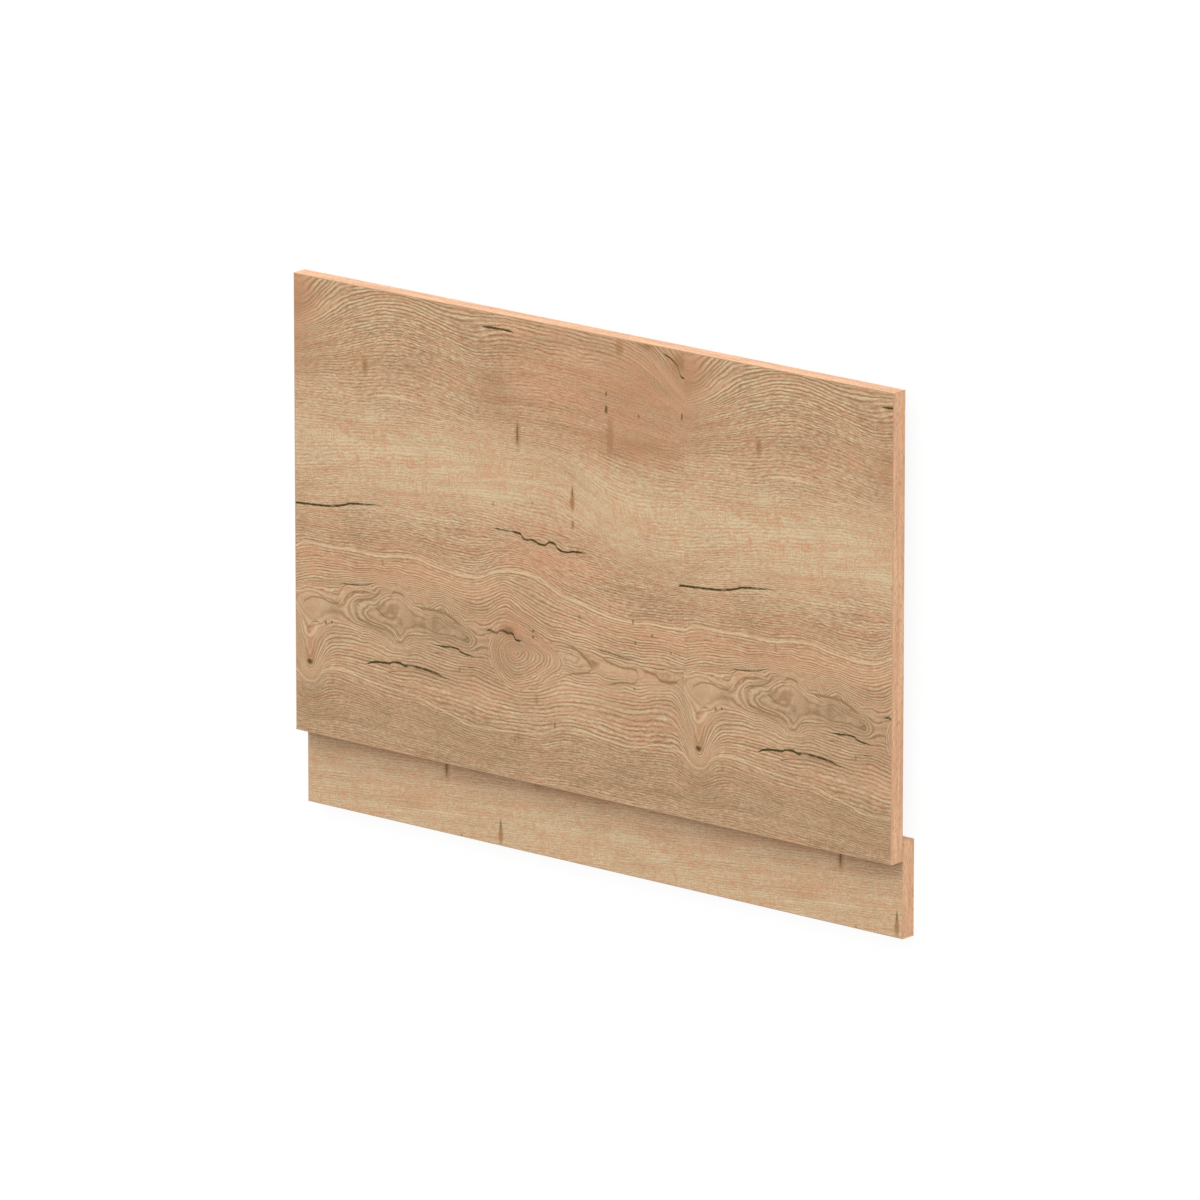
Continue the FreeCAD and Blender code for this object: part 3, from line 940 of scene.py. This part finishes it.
            # Tone rising over the fade: partly the decor's tone, partly painted shade under the panel's
            # foot
            tone = sheet.follow(sheet.rise(d, *self.STRAIGHT_DECOR_FADE_AND_PAINTED_SHADE), self.STRAIGHT_DECOR_TONE_AND_PAINTED_SHADE)
            growth = sheet.plus(d, u, self.STRAIGHT_SLOPE)
            return growth, tone, self.STRAIGHT_WARMTH, self.STRAIGHT_LINES
        flow, ringed, inside = sheet.stored(FiguredBoard.GROWTH)
        rough_rim = sheet.plus(inside, sheet.stretched(u, d, self.KNOT_RIM), self.KNOT_RIM_HEIGHT)
        is_ringed = sheet.math("GREATER_THAN", rough_rim, 0.0)
        rings = OakFigure.RINGS
        turn = sheet.math("ARCTAN2", sheet.plus(d, -rings.d), sheet.plus(u, -rings.u))
        spiral = sheet.plus(ringed, turn, self.INNER_SPACING / (2.0 * math.pi))
        spiral = sheet.plus(spiral, sheet.stretched(u, d, self.RING_WOBBLE), self.RING_WOBBLE_HEIGHT)
        growth = sheet.plus(flow, sheet.math("SUBTRACT", spiral, flow), is_ringed)
        return (growth, *sheet.stored(FiguredBoard.SHADE))

    @staticmethod
    def over_the_sheet(points: Sequence[Point]) -> list[Point]:
        """Carry a curve on level from its first and last point to both ends of the sheet."""
        return [(0.0, points[0][1]), *points, (1.0, points[-1][1])]

    def strips(self, sheet: NodeSheet, rows: Sequence[StripRow], u: Socket, d: Socket,
               rim: float) -> Socket:
        """Mask of thin strips: 1 inside their half width of a drawn middle line, with a soft rim.

        Each row is drawn by two curves over u, one for the middle line's depth and one for the width.

        Args:
            sheet: The material's nodes.
            rows: The rows of strips.
            u: The place along the sheet.
            d: The depth on the sheet, made ragged.
            rim: The width of the soft rim, in millimetres.

        Returns:
            The mask, from 0 to 1.
        """
        along = sheet.math("DIVIDE", u, OakFigure.REPEAT)
        mask: Value = 0.0
        for row in rows:
            reach = row.high - row.low
            drawn = [(strip, *point) for strip in row.strips for point in strip.points]
            depths = [(at_u / OakFigure.REPEAT, (at_d - row.low) / reach) for _, at_u, at_d in drawn]
            widths = [(at_u / OakFigure.REPEAT, strip.width_at(at_u) / self.WIDEST_STRIP)
                      for strip, at_u, _ in drawn]
            depth = sheet.curve(along, self.over_the_sheet(depths), smooth=True)
            width = sheet.curve(along, self.over_the_sheet(widths), smooth=False)
            off = sheet.math("SUBTRACT", d, sheet.follow(depth, Slope(reach, row.low)))
            half = sheet.times(width, self.WIDEST_STRIP)
            spare = sheet.math("SUBTRACT", half, sheet.math("ABSOLUTE", off))
            mask = sheet.math("MAXIMUM", mask, sheet.math("DIVIDE", spare, rim, clamp=True))
        return mask

    def marks(self, sheet: NodeSheet, marks: Sequence[Mark], u: Socket, d: Socket) -> Socket:
        """Mask of oval marks: each holds its darkness in the middle and falls to nothing at its rim.

        Args:
            sheet: The material's nodes.
            marks: The marks.
            u, d: The place on the sheet, made ragged.

        Returns:
            The mask, from 0 to 1.
        """
        place = sheet.place(u, d)
        mask: Value = 0.0
        for mark in marks:
            off = sheet.vector_math("SUBTRACT", place, (mark.u, mark.d, 0.0)).outputs[0]
            scaled = sheet.vector_math("DIVIDE", off, (mark.half_u, mark.half_d, 1.0)).outputs[0]
            radius = sheet.vector_math("LENGTH", scaled).outputs["Value"]
            inside = sheet.follow(radius, Slope(-self.MARK_RIM, self.MARK_RIM, is_mask=True))
            mask = sheet.math("MAXIMUM", mask, sheet.times(inside, mark.darkness))
        return mask

    def build(self) -> bpy.types.Material:
        """Lay the decor's layers over each other, from the growth lines to the cracks.

        A growth line is the squared trough of a sine of the growth, less its mean. The lines and the
        noises shift the tone, and two ramps turn the result into a cool and a warm colour.

        Returns:
            The finished material.
        """
        sheet = NodeSheet(self.name)
        u, d, front = self.decor_place(sheet)
        growth, tone, warmth, lines = self.growth_and_shade(sheet, u, d)

        # Noises along the bent growth and on the sheet
        looseness = sheet.follow(sheet.rise(growth, *self.HEART_GROWTH), self.LOOSENESS)
        wander = sheet.times(sheet.stretched(u, d, self.WANDER), looseness)
        ripple = sheet.times(sheet.stretched(u, d, self.RIPPLE), self.RIPPLE_HEIGHT)
        across = sheet.plus(growth, sheet.plus(wander, ripple))
        broad = sheet.stretched(u, across, self.BROAD)
        drift = sheet.stretched(u, across, self.DRIFT)
        fade = sheet.stretched(u, across, self.FADE)
        fibre = sheet.stretched(u, across, self.FIBRE)
        tint = sheet.stretched(u, across, self.TINT)
        cloud = sheet.stretched(u, d, self.CLOUD)
        stipple = sheet.stretched(u, d, self.STIPPLE)

        # Growth lines, which lie closer in the fine growth
        inner, bark_side = (sheet.rise(growth, *part) for part in (self.INNER_GROWTH, self.BARK_GROWTH))
        plain = sheet.math("MAXIMUM", inner, bark_side)
        finer = 1.0 / self.OUTER_SPACING - 1.0 / self.INNER_SPACING
        fine_low, fine_high = self.FINE_GROWTH
        fine_part = sheet.math("MINIMUM", sheet.math("MAXIMUM", across, fine_low), fine_high)
        turns = sheet.plus(sheet.times(fine_part, finer), across, 1.0 / self.INNER_SPACING)
        turns = sheet.plus(turns, drift, self.DRIFT_TURNS)
        wave = sheet.math("SINE", sheet.times(turns, 2.0 * math.pi))
        trough = sheet.follow(wave, self.TROUGH)
        thin = sheet.math("SUBTRACT", self.TROUGH_MEAN, sheet.times(trough, trough))
        shown = sheet.times(thin, sheet.follow(fade, self.LINE_SHOWN))
        line = sheet.times(shown, sheet.follow(plain, self.LINE_STRENGTH))

        # Tone
        grain = sheet.times(fibre, sheet.follow(plain, self.FIBRE_STRENGTH))
        level = sheet.plus(tone, sheet.plus(line, grain), lines)
        level = sheet.plus(level, stipple, sheet.follow(plain, self.STIPPLE_STRENGTH))
        level = sheet.plus(level, broad, sheet.follow(plain, self.BROAD_STRENGTH))
        level = sheet.plus(level, cloud, self.CLOUD_STRENGTH)
        level = sheet.plus(level, sheet.times(drift, plain), self.DRIFT_STRENGTH)

        # Hue, warmer where the level is darker than the tone
        cool = sheet.ramp(level, tuple(zip(self.RAMP_STOPS, (self.SHADOW, self.BROWN, self.PALE))))
        amber = (self.AMBER_SHADOW, self.AMBER_BROWN, self.AMBER_PALE)
        warm = sheet.ramp(level, tuple(zip(self.RAMP_STOPS, amber)))
        light = sheet.follow(tone, self.LIGHT)
        hue = sheet.plus(warmth, cloud, self.CLOUD_HUE)
        hue = sheet.plus(hue, tint, sheet.follow(light, self.TINT_HUE))
        hue = sheet.plus(hue, drift, self.DRIFT_HUE)
        darker = sheet.math("SUBTRACT", tone, level)
        hue = sheet.math("MULTIPLY_ADD", darker, sheet.follow(light, self.REDDENING), hue, clamp=True)
        colour = sheet.blend(hue, cool, warm)

        # Pale growth lines
        rippled_d = sheet.plus(d, ripple, self.STREAK_RIPPLE)
        streak = sheet.times(self.strips(sheet, self.STREAK_ROWS, u, rippled_d, self.STREAK_RIM), front)
        streak = sheet.times(streak, sheet.follow(fade, self.STREAK_SHOWN))
        colour = sheet.blend(streak, colour, self.STREAK)

        # Rays across the light wood, in clusters
        rays = sheet.stretched(d, sheet.plus(u, cloud, self.RAY_LEAN), self.RAYS)
        ray = sheet.times(sheet.follow(rays, self.RAY_SHOWN), light)
        clusters = sheet.stretched(u, d, self.CLUSTERS)
        ray = sheet.times(ray, sheet.follow(clusters, self.CLUSTER_SHOWN))
        colour = sheet.blend(sheet.times(ray, self.RAY_STRENGTH), colour, self.RAY)

        # Stains, seams, marks and cracks of the front face
        ragged = sheet.times(sheet.stretched(u, d, self.RAGGED), self.RAGGED_HEIGHT)
        ragged_d = sheet.plus(d, ragged)
        ragged_u = sheet.plus(u, ragged, self.RAGGED_LEAN)
        stain = sheet.times(self.marks(sheet, self.STAINS, ragged_u, ragged_d), front)
        mark = sheet.times(self.marks(sheet, self.MARKS, ragged_u, ragged_d), front)
        seam = sheet.times(self.strips(sheet, self.SEAM_ROWS, u, ragged_d, self.SEAM_RIM), front)
        crack = sheet.times(self.strips(sheet, self.CRACK_ROWS, u, ragged_d, self.CRACK_RIM), front)
        crack = sheet.times(crack, sheet.follow(sheet.stretched(u, d, self.CLOSING), self.CRACK_SHOWN))
        colour = sheet.blend(stain, colour, self.STAIN)
        colour = sheet.blend(sheet.times(seam, self.SEAM_STRENGTH), colour, self.SEAM)
        colour = sheet.blend(mark, colour, self.KNOT)
        colour = sheet.blend(crack, colour, self.BARK)

        sheet.surface(colour, sheet.follow(level, self.ROUGHNESS), specular=self.SPECULAR,
                      relief=fibre, relief_depth=self.RELIEF_DEPTH)
        return sheet.material


@dataclass(frozen=True)
class EdgingFinish:
    """Matt edging strip: pinkish beige, with a fine straight grain along its length.

    front_z is the height of the board's face, in metres. The strip is browner just under it:
    painted shade that dims the highlight on its rounded edge.
    """

    name: str
    run: Run
    front_z: float

    BEIGE = srgb(217, 167, 129)
    PALE = srgb(235, 187, 145)
    LINE = srgb(186, 136, 102)
    # Browner rim under the face, painted shade over the edge's highlight, and its depth in millimetres
    PAINTED_RIM_SHADE = srgb(190, 153, 119)
    PAINTED_RIM_SHADE_DEPTH = 0.3
    SOFT = Grain(60, 5.0, 1.7, detail=3)
    SOFT_SHOWN = Slope(4.2, 0.5, is_mask=True)
    FINE = Grain(5, 0.9, 5.3, detail=2)
    LINE_SHOWN = Slope(4.0, 0.05, is_mask=True)
    ROUGHNESS = 0.5
    SPECULAR = 0.3
    RELIEF_DEPTH = 0.03 * MM

    def build(self) -> bpy.types.Material:
        """Mix two beiges by noise drawn out along the strip, with thin darker lines, and brown the
        rim under the face with painted shade.

        Returns:
            The finished material.
        """
        sheet = NodeSheet(self.name)
        parts = sheet.split(sheet.object_place(MM))
        along = parts[self.run.value]
        across = sheet.plus(parts[2], parts[1 - self.run.value])
        soft = sheet.stretched(along, across, self.SOFT)
        fine = sheet.stretched(along, across, self.FINE)
        colour = sheet.blend(sheet.follow(soft, self.SOFT_SHOWN), self.BEIGE, self.PALE)
        colour = sheet.blend(sheet.follow(fine, self.LINE_SHOWN), colour, self.LINE)
        # Painted shade on the rim just under the board's face
        rim = sheet.math("GREATER_THAN", parts[2], self.front_z / MM - self.PAINTED_RIM_SHADE_DEPTH)
        colour = sheet.blend(rim, colour, self.PAINTED_RIM_SHADE)
        sheet.surface(colour, self.ROUGHNESS, specular=self.SPECULAR,
                      relief=fine, relief_depth=self.RELIEF_DEPTH)
        return sheet.material


@dataclass(frozen=True)
class ZincFinish:
    """Bright zinc plating of the screws, a little cloudy."""

    name: str = "zinc_plating"

    ZINC = srgb(196, 196, 190)
    YELLOWED = srgb(188, 178, 150)
    CLOUD_SIZE = 1.5 * MM
    CLOUD_DETAIL = 3.0
    CLOUD_SHOWN = Slope(1.0, 0.5, is_mask=True)
    ROUGHNESS = Slope(0.3, 0.35)

    def build(self) -> bpy.types.Material:
        """Mix two zinc colours by a soft noise, and cloud the gloss with it.

        Returns:
            The finished material.
        """
        sheet = NodeSheet(self.name)
        cloud = sheet.noise(sheet.object_place(self.CLOUD_SIZE), self.CLOUD_DETAIL)
        colour = sheet.blend(sheet.follow(cloud, self.CLOUD_SHOWN), self.ZINC, self.YELLOWED)
        sheet.surface(colour, sheet.follow(cloud, self.ROUGHNESS), metallic=1.0)
        return sheet.material


def add_mesh(name: str, vertices: np.ndarray, quads: np.ndarray,
             fans: Optional[np.ndarray] = None) -> bpy.types.Object:
    """Put computed vertices and faces into a new object at the origin.

    Args:
        name: The piece's name.
        vertices: One row of three coordinates for each vertex, in metres.
        quads: One row of four vertex numbers for each face, turned to face outwards.
        fans: The same with three, for the faces that close a pole.

    Returns:
        The new object.
    """
    mesh = bpy.data.meshes.new(name)
    mesh.vertices.add(len(vertices))
    mesh.vertices.foreach_set("co", vertices.astype(np.float32).ravel())
    fans = np.zeros((0, 3), int) if fans is None else fans
    corners = np.concatenate([quads.ravel(), fans.ravel()])
    starts = np.concatenate([np.arange(len(quads)) * 4, quads.size + np.arange(len(fans)) * 3])
    mesh.loops.add(corners.size)
    mesh.loops.foreach_set("vertex_index", corners.astype(np.int32))
    mesh.polygons.add(starts.size)
    mesh.polygons.foreach_set("loop_start", starts.astype(np.int32))
    mesh.update(calc_edges=True)
    mesh.validate()
    mesh.set_sharp_from_angle(angle=SHARP_ANGLE)
    piece = bpy.data.objects.new(name, mesh)
    bpy.context.scene.collection.objects.link(piece)
    return piece


def grid_quads(numbers: np.ndarray) -> np.ndarray:
    """Four-sided faces between neighbours on a grid of vertex numbers.

    Each face takes a vertex, the next along the second way, the one beyond both and the next
    along the first way.

    Args:
        numbers: The grid of vertex numbers.

    Returns:
        One row of four vertex numbers for each face.
    """
    corners = (numbers[:-1, :-1], numbers[:-1, 1:], numbers[1:, 1:], numbers[1:, :-1])
    return np.stack([corner.ravel() for corner in corners], axis=1)


@dataclass
class FiguredBoard:
    """The front board, rebuilt as a closed slab of two fine grids that carry its growth lines.

    pitch is the grids' step, in metres. back_shade is the back's tone, warmth and strength of lines.
    """

    node: str
    name: str
    figure: OakFigure
    finish: OakDecor
    pitch: float = 3.25 * MM
    back_shade: tuple[float, float, float] = (0.5, 0.3, 0.6)

    GROWTH = "growth"
    SHADE = "shade"

    def build(self) -> bpy.types.Object:
        """Work out the slab: the same grid in front and behind, joined by four walls.

        A point of the grid is the low corner plus whole steps of the pitch, stretched to end on the
        high corner.

        Returns:
            The board's object.
        """
        low, high = (np.array(corner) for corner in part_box(self.node))
        cells = np.round((high - low)[:2] / self.pitch).astype(int)
        x, y = np.meshgrid(*(np.linspace(low[axis], high[axis], cells[axis] + 1) for axis in (0, 1)))
        front = np.stack([x, y, np.full_like(x, high[2])], axis=-1).reshape(-1, 3)
        back = np.stack([x, y, np.full_like(x, low[2])], axis=-1).reshape(-1, 3)
        numbers = np.arange(x.size).reshape(x.shape)
        behind = numbers + x.size
        rims = ((numbers[0], behind[0]), (behind[-1], numbers[-1]), (behind[:, 0], numbers[:, 0]),
                (numbers[:, -1], behind[:, -1]))
        walls = [grid_quads(np.stack([lower, upper])) for upper, lower in rims]
        quads = np.concatenate([grid_quads(numbers), grid_quads(behind.T), *walls])
        piece = add_mesh(self.name, np.concatenate([front, back]), quads)
        self.store_figure(piece, x.ravel(), y.ravel())
        return piece

    def store_figure(self, piece: bpy.types.Object, x: np.ndarray, y: np.ndarray) -> None:
        """Store growth and shade on the vertices: the figure in front, straight lines behind.

        Args:
            piece: The board's object.
            x, y: The grid's places, in metres.
        """
        u = (x - self.finish.left_x) / MM + self.finish.shift_u
        d = (self.finish.top_y - y) / MM
        straight = np.stack([d + OakDecor.STRAIGHT_SLOPE * u, 0.0 * u, 0.0 * u - 1.0], axis=1)
        growth = np.concatenate([self.figure.growth(u, d), straight])
        shade = np.concatenate([self.figure.shade(u, d), np.tile(self.back_shade, (u.size, 1))])
        for name, values in ((self.GROWTH, growth), (self.SHADE, shade)):
            stored = piece.data.attributes.new(name, "FLOAT_VECTOR", "POINT")
            stored.data.foreach_set("vector", values.astype(np.float32).ravel())

    def dress(self, piece: bpy.types.Object) -> None:
        """Give the board its decor and let it stand for its node.

        Args:
            piece: The board's object.
        """
        piece.data.materials.append(self.finish.build())
        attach(piece, BODY)
        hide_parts(self.node)


def set_material(node: str, material: bpy.types.Material) -> None:
    """Put one material on every slot of a node whose shape stays.

    Args:
        node: The node's name.
        material: The material.
    """
    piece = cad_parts[node]
    for slot in piece.material_slots:
        slot.material = material
    LOG.info("%s: dressed in %s", node, material.name)


@dataclass
class PlinthBoard:
    """The rear board, whose shape stays and gets the decor's light, straight-grained part.

    Its top, just under the panel's foot, is darker: partly the decor's tone, partly painted shade.
    """

    node: str
    finish: OakDecor

    # Where on the decor sheet its left end and the panel's foot lie, in millimetres
    DECOR_SHIFT = 110.0
    DECOR_DEPTH = 110.0

    def dress(self) -> None:
        """Put the decor on the board."""
        set_material(self.node, self.finish.build())


@dataclass
class EdgingSet:
    """The strips round both boards, whose shapes stay."""

    boards: tuple[str, ...] = ("panel", "plinth")

    SIDES = {"top": Run.ACROSS, "bottom": Run.ACROSS, "left": Run.UPWARDS, "right": Run.UPWARDS}

    def dress(self) -> None:
        """Give each strip the finish whose grain runs its way."""
        for board in self.boards:
            front_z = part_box(f"{board}_board")[1].z
            finishes = {}
            for run in Run:
                finishes[run] = EdgingFinish(f"{board}_edging_{run.name.lower()}", run, front_z).build()
            for side, run in self.SIDES.items():
                set_material(f"{board}_edging_{side}", finishes[run])


@dataclass
class ScrewRow:
    """Countersunk screws, turned about their axes, with a cross recess and a thread."""

    prefix: str = "plinth_screw_"
    around: int = 96
    head_rows: int = 44
    recess_reach: float = 2.3 * MM
    recess_half_width: float = 0.45 * MM
    recess_depth: float = 1.3 * MM
    recess_wall: float = 0.65 * MM
    head_height: float = 2.0 * MM
    thread_pitch: float = 1.8 * MM
    thread_depth: float = 0.65 * MM
    tip_length: float = 4.0 * MM
    shank_radius: float = 2.0 * MM
    rows_per_turn: int = 8
    thread_steepness: float = 3.0
    pole_share: float = 0.02

    def recess(self, x: np.ndarray, y: np.ndarray) -> np.ndarray:
        """Depth of the cross recess at places on the flat head.

        The depth is full within the half width of the nearer axis, and falls over the wall beyond
        it and before the reach. Its share is eased: three times the square less twice the cube.

        Args:
            x, y: The places from the screw's axis, in metres.

        Returns:
            The depth at each place, in metres.
        """
        near, far = np.minimum(abs(x), abs(y)), np.maximum(abs(x), abs(y))
        slot = np.clip((self.recess_half_width + self.recess_wall - near) / self.recess_wall, 0.0, 1.0)
        ends = np.clip((self.recess_reach - far) / self.recess_wall, 0.0, 1.0)
        share = slot * ends
        return self.recess_depth * share * share * (3.0 - 2.0 * share)

    def shank(self, z: np.ndarray, turn: np.ndarray, length: float) -> np.ndarray:
        """Radius of the threaded shank.

        The thread's ridge is a triangle wave of the height, in pitches, less the turn. Over the tip
        the radius falls evenly to nothing. The first ring, where the cone ends, is plain.

        Args:
            z: Heights below the head's face, a row for each ring, in metres.
            turn: Angles round the axis.
            length: The screw's length, in metres.

        Returns:
            The radius at each place, in metres.
        """
        wave = (z / self.thread_pitch - turn / (2.0 * np.pi)) % 1.0
        ridge = self.thread_depth * np.clip(1.0 - self.thread_steepness * abs(wave - 0.5), 0.0, 1.0)
        taper = np.clip((length - z) / self.tip_length, 0.0, 1.0)
        radius = np.maximum(self.shank_radius - self.thread_depth + ridge, 0.0) * taper
        radius[0] = self.shank_radius
        return radius

    def build(self, node: str) -> bpy.types.Object:
        """Work out one screw as rings of vertices from the head's middle to the tip.

        On the flat head a ring is a circle, sunk by the recess. From its rim the cone's radius falls
        evenly to the shank's, and the rings of the shank follow. A fan of triangles closes each pole.

        Args:
            node: The screw's node, which gives its place and size.

        Returns:
            The screw's object.
        """
        low, high = (np.array(corner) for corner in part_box(node))
        centre = (low + high) / 2.0
        head_radius = (high - low)[0] / 2.0
        length = (high - low)[2]
        turn = np.arange(self.around) * 2.0 * np.pi / self.around
        flat = np.linspace(self.pole_share, 1.0, self.head_rows) * head_radius
        x, y = np.outer(flat, np.cos(turn)), np.outer(flat, np.sin(turn))
        shank_rows = int((length - self.head_height) / self.thread_pitch * self.rows_per_turn)
        z = np.linspace(self.head_height, length, shank_rows)[:-1, None] + 0.0 * turn
        radius = self.shank(z, turn, length)
        rings_x = np.concatenate([x, radius * np.cos(turn)])
        rings_y = np.concatenate([y, radius * np.sin(turn)])
        rings_z = np.concatenate([self.recess(x, y), z])
        rings = np.stack([rings_x, rings_y, rings_z], axis=-1).reshape(-1, 3)
        poles = np.array([(0.0, 0.0, self.recess_depth), (0.0, 0.0, length)])
        numbers = np.arange(rings_x.size).reshape(rings_x.shape)
        closed = np.concatenate([numbers, numbers[:, :1]], axis=1)
        head_pole, tip_pole = (np.full(self.around, rings_x.size + pole) for pole in (0, 1))
        head_fan = np.stack([head_pole, closed[0, 1:], closed[0, :-1]], axis=1)
        tip_fan = np.stack([tip_pole, closed[-1, :-1], closed[-1, 1:]], axis=1)
        vertices = np.concatenate([rings, poles]) + (centre[0], centre[1], low[2])
        fans = np.concatenate([head_fan, tip_fan])
        return add_mesh(f"{node}_turned", vertices, grid_quads(closed), fans)

    def dress(self) -> list[bpy.types.Object]:
        """Build every screw, plate it with zinc and let it stand for its node.

        Returns:
            The screws' objects.
        """
        zinc = ZincFinish().build()
        made = []
        for node in sorted(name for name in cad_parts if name.startswith(self.prefix)):
            piece = self.build(node)
            piece.data.materials.append(zinc)
            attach(piece, BODY)
            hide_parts(node)
            made.append(piece)
        return made


@dataclass
class Studio:
    """White floor, soft light from above the panel's top edge, and the photograph's camera.

    Lengths are in metres and angles in degrees, but the lens and its sensor are in millimetres.
    """

    floor_half: float = 40.0
    floor_drop: float = 0.1 * MM
    floor_white: float = 0.90
    floor_shadow: float = 0.115
    floor_bounce: float = 0.8
    sky: float = 0.36
    key_direction: tuple[float, float, float] = (0.255, 0.725, 0.64)
    key_strength: float = 1.015
    key_spread: float = 90.0
    view_turn: float = 40.0
    view_rise: float = 15.0
    view_aim: tuple[float, float, float] = (0.0151, 0.0064, 0.036)
    view_distance: float = 13.506
    lens: float = 405.6
    sensor: float = 36.0
    view_reach: float = 200.0

    def camera_ray(self, nodes: bpy.types.Nodes, links: bpy.types.NodeLinks) -> Socket:
        """1 for rays that show the background itself: from the camera, off metal or through glass.

        Args:
            nodes: The nodes to add to.
            links: Their links.

        Returns:
            The number 0 or 1.
        """
        path = nodes.new("ShaderNodeLightPath")
        seen = path.outputs["Is Camera Ray"]
        for name in ("Is Glossy Ray", "Is Transmission Ray"):
            most = nodes.new("ShaderNodeMath")
            most.operation = "MAXIMUM"
            links.new(seen, most.inputs[0])
            links.new(path.outputs[name], most.inputs[1])
            seen = most.outputs[0]
        return seen

    def build_floor(self) -> None:
        """A wide square floor: white to the camera with a faint shadow, pale grey to the light."""
        corners = np.array([(-1, -1, 0), (1, -1, 0), (1, 1, 0), (-1, 1, 0)]) * self.floor_half
        corners = corners - (0.0, 0.0, self.floor_drop)
        floor = add_mesh("studio_floor", corners, np.array([[0, 1, 2, 3]]))
        sheet = NodeSheet("studio_floor_white")
        bounce = sheet.nodes.new("ShaderNodeBsdfDiffuse")
        bounce.inputs["Color"].default_value = (*[self.floor_bounce] * 3, 1.0)
        shade = sheet.nodes.new("ShaderNodeBsdfDiffuse")
        shade.inputs["Color"].default_value = (*[self.floor_shadow] * 3, 1.0)
        white = sheet.nodes.new("ShaderNodeEmission")
        white.inputs["Strength"].default_value = self.floor_white
        seen = sheet.nodes.new("ShaderNodeAddShader")
        sheet.put(seen.inputs[0], shade.outputs[0])
        sheet.put(seen.inputs[1], white.outputs[0])
        mix = sheet.nodes.new("ShaderNodeMixShader")
        sheet.put(mix.inputs[0], self.camera_ray(sheet.nodes, sheet.links))
        sheet.put(mix.inputs[1], bounce.outputs[0])
        sheet.put(mix.inputs[2], seen.outputs[0])
        sheet.put(sheet.output.inputs["Surface"], mix.outputs[0])
        floor.data.materials.append(sheet.material)

    def build_sky(self) -> None:
        """Even light from all round, white where the camera sees it."""
        world = bpy.data.worlds.new("studio_sky")
        world.use_nodes = True
        nodes, links = world.node_tree.nodes, world.node_tree.links
        background = next(node for node in nodes if node.type == "BACKGROUND")
        background.inputs["Color"].default_value = (1.0, 1.0, 1.0, 1.0)
        strength = nodes.new("ShaderNodeMapRange")
        strength.inputs["To Min"].default_value = self.sky
        strength.inputs["To Max"].default_value = 1.0
        links.new(self.camera_ray(nodes, links), strength.inputs["Value"])
        links.new(strength.outputs[0], background.inputs["Strength"])
        bpy.context.scene.world = world

    def build_key(self) -> None:
        """One broad soft light; a strength of 1 shows a surface that faces it in its own colour."""
        lamp = bpy.data.lights.new("key_light", "SUN")
        lamp.energy = math.pi * self.key_strength
        lamp.angle = math.radians(self.key_spread)
        key = bpy.data.objects.new("key_light", lamp)
        key.rotation_euler = Vector(self.key_direction).to_track_quat("Z", "Y").to_euler()
        bpy.context.scene.collection.objects.link(key)

    def build_camera(self) -> None:
        """The photograph's camera: turned and raised from the face's normal, with the panel's top up.

        Its backward axis is (sine of the turn times cosine of the rise, sine of the rise, cosine of
        the turn times cosine of the rise), and its right axis lies level.
        """
        turn, rise = math.radians(self.view_turn), math.radians(self.view_rise)
        back = Vector((math.sin(turn) * math.cos(rise), math.sin(rise), math.cos(turn) * math.cos(rise)))
        right = Vector((math.cos(turn), 0.0, -math.sin(turn)))
        up = back.cross(right)
        lens = bpy.data.cameras.new("photo_camera")
        lens.lens = self.lens
        lens.sensor_width = self.sensor
        lens.clip_end = self.view_reach
        camera = bpy.data.objects.new("photo_camera", lens)
        turned = Matrix((right, up, back)).transposed().to_4x4()
        eye = Vector(self.view_aim) + back * self.view_distance
        camera.matrix_world = Matrix.Translation(eye) @ turned
        bpy.context.scene.collection.objects.link(camera)
        bpy.context.scene.camera = camera

    def build(self) -> None:
        """Set up the whole studio, with colours shown as they are written."""
        self.build_floor()
        self.build_sky()
        self.build_key()
        self.build_camera()
        bpy.context.scene.view_settings.view_transform = "Standard"


def main() -> None:
    """Build and dress the boards, the edging, the screws and the studio, in that order."""
    logging.basicConfig(level=logging.INFO, format="%(name)s: %(message)s")
    panel_low, panel_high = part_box("panel_edging_top")
    panel_left, panel_top, panel_front = panel_low.x, panel_high.y, panel_high.z
    panel_decor = OakDecor("oak_decor_figured", Cut.FIGURED, panel_left, panel_top, panel_front, 0.0)
    board = FiguredBoard("panel_board", "panel_board_figured", OakFigure(), panel_decor)
    piece = board.build()
    board.dress(piece)
    LOG.info("%s: %d faces", piece.name, len(piece.data.polygons))

    panel_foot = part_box("panel_edging_bottom")[0].y
    plinth_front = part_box("plinth_board")[1].z
    plinth_top = panel_foot + PlinthBoard.DECOR_DEPTH * MM
    plinth_decor = OakDecor("oak_decor_straight", Cut.STRAIGHT, panel_left, plinth_top, plinth_front,
                            PlinthBoard.DECOR_SHIFT)
    PlinthBoard("plinth_board", plinth_decor).dress()
    EdgingSet().dress()
    for screw in ScrewRow().dress():
        LOG.info("%s: %d faces", screw.name, len(screw.data.polygons))
    Studio().build()


if __name__ == "__main__":
    main()
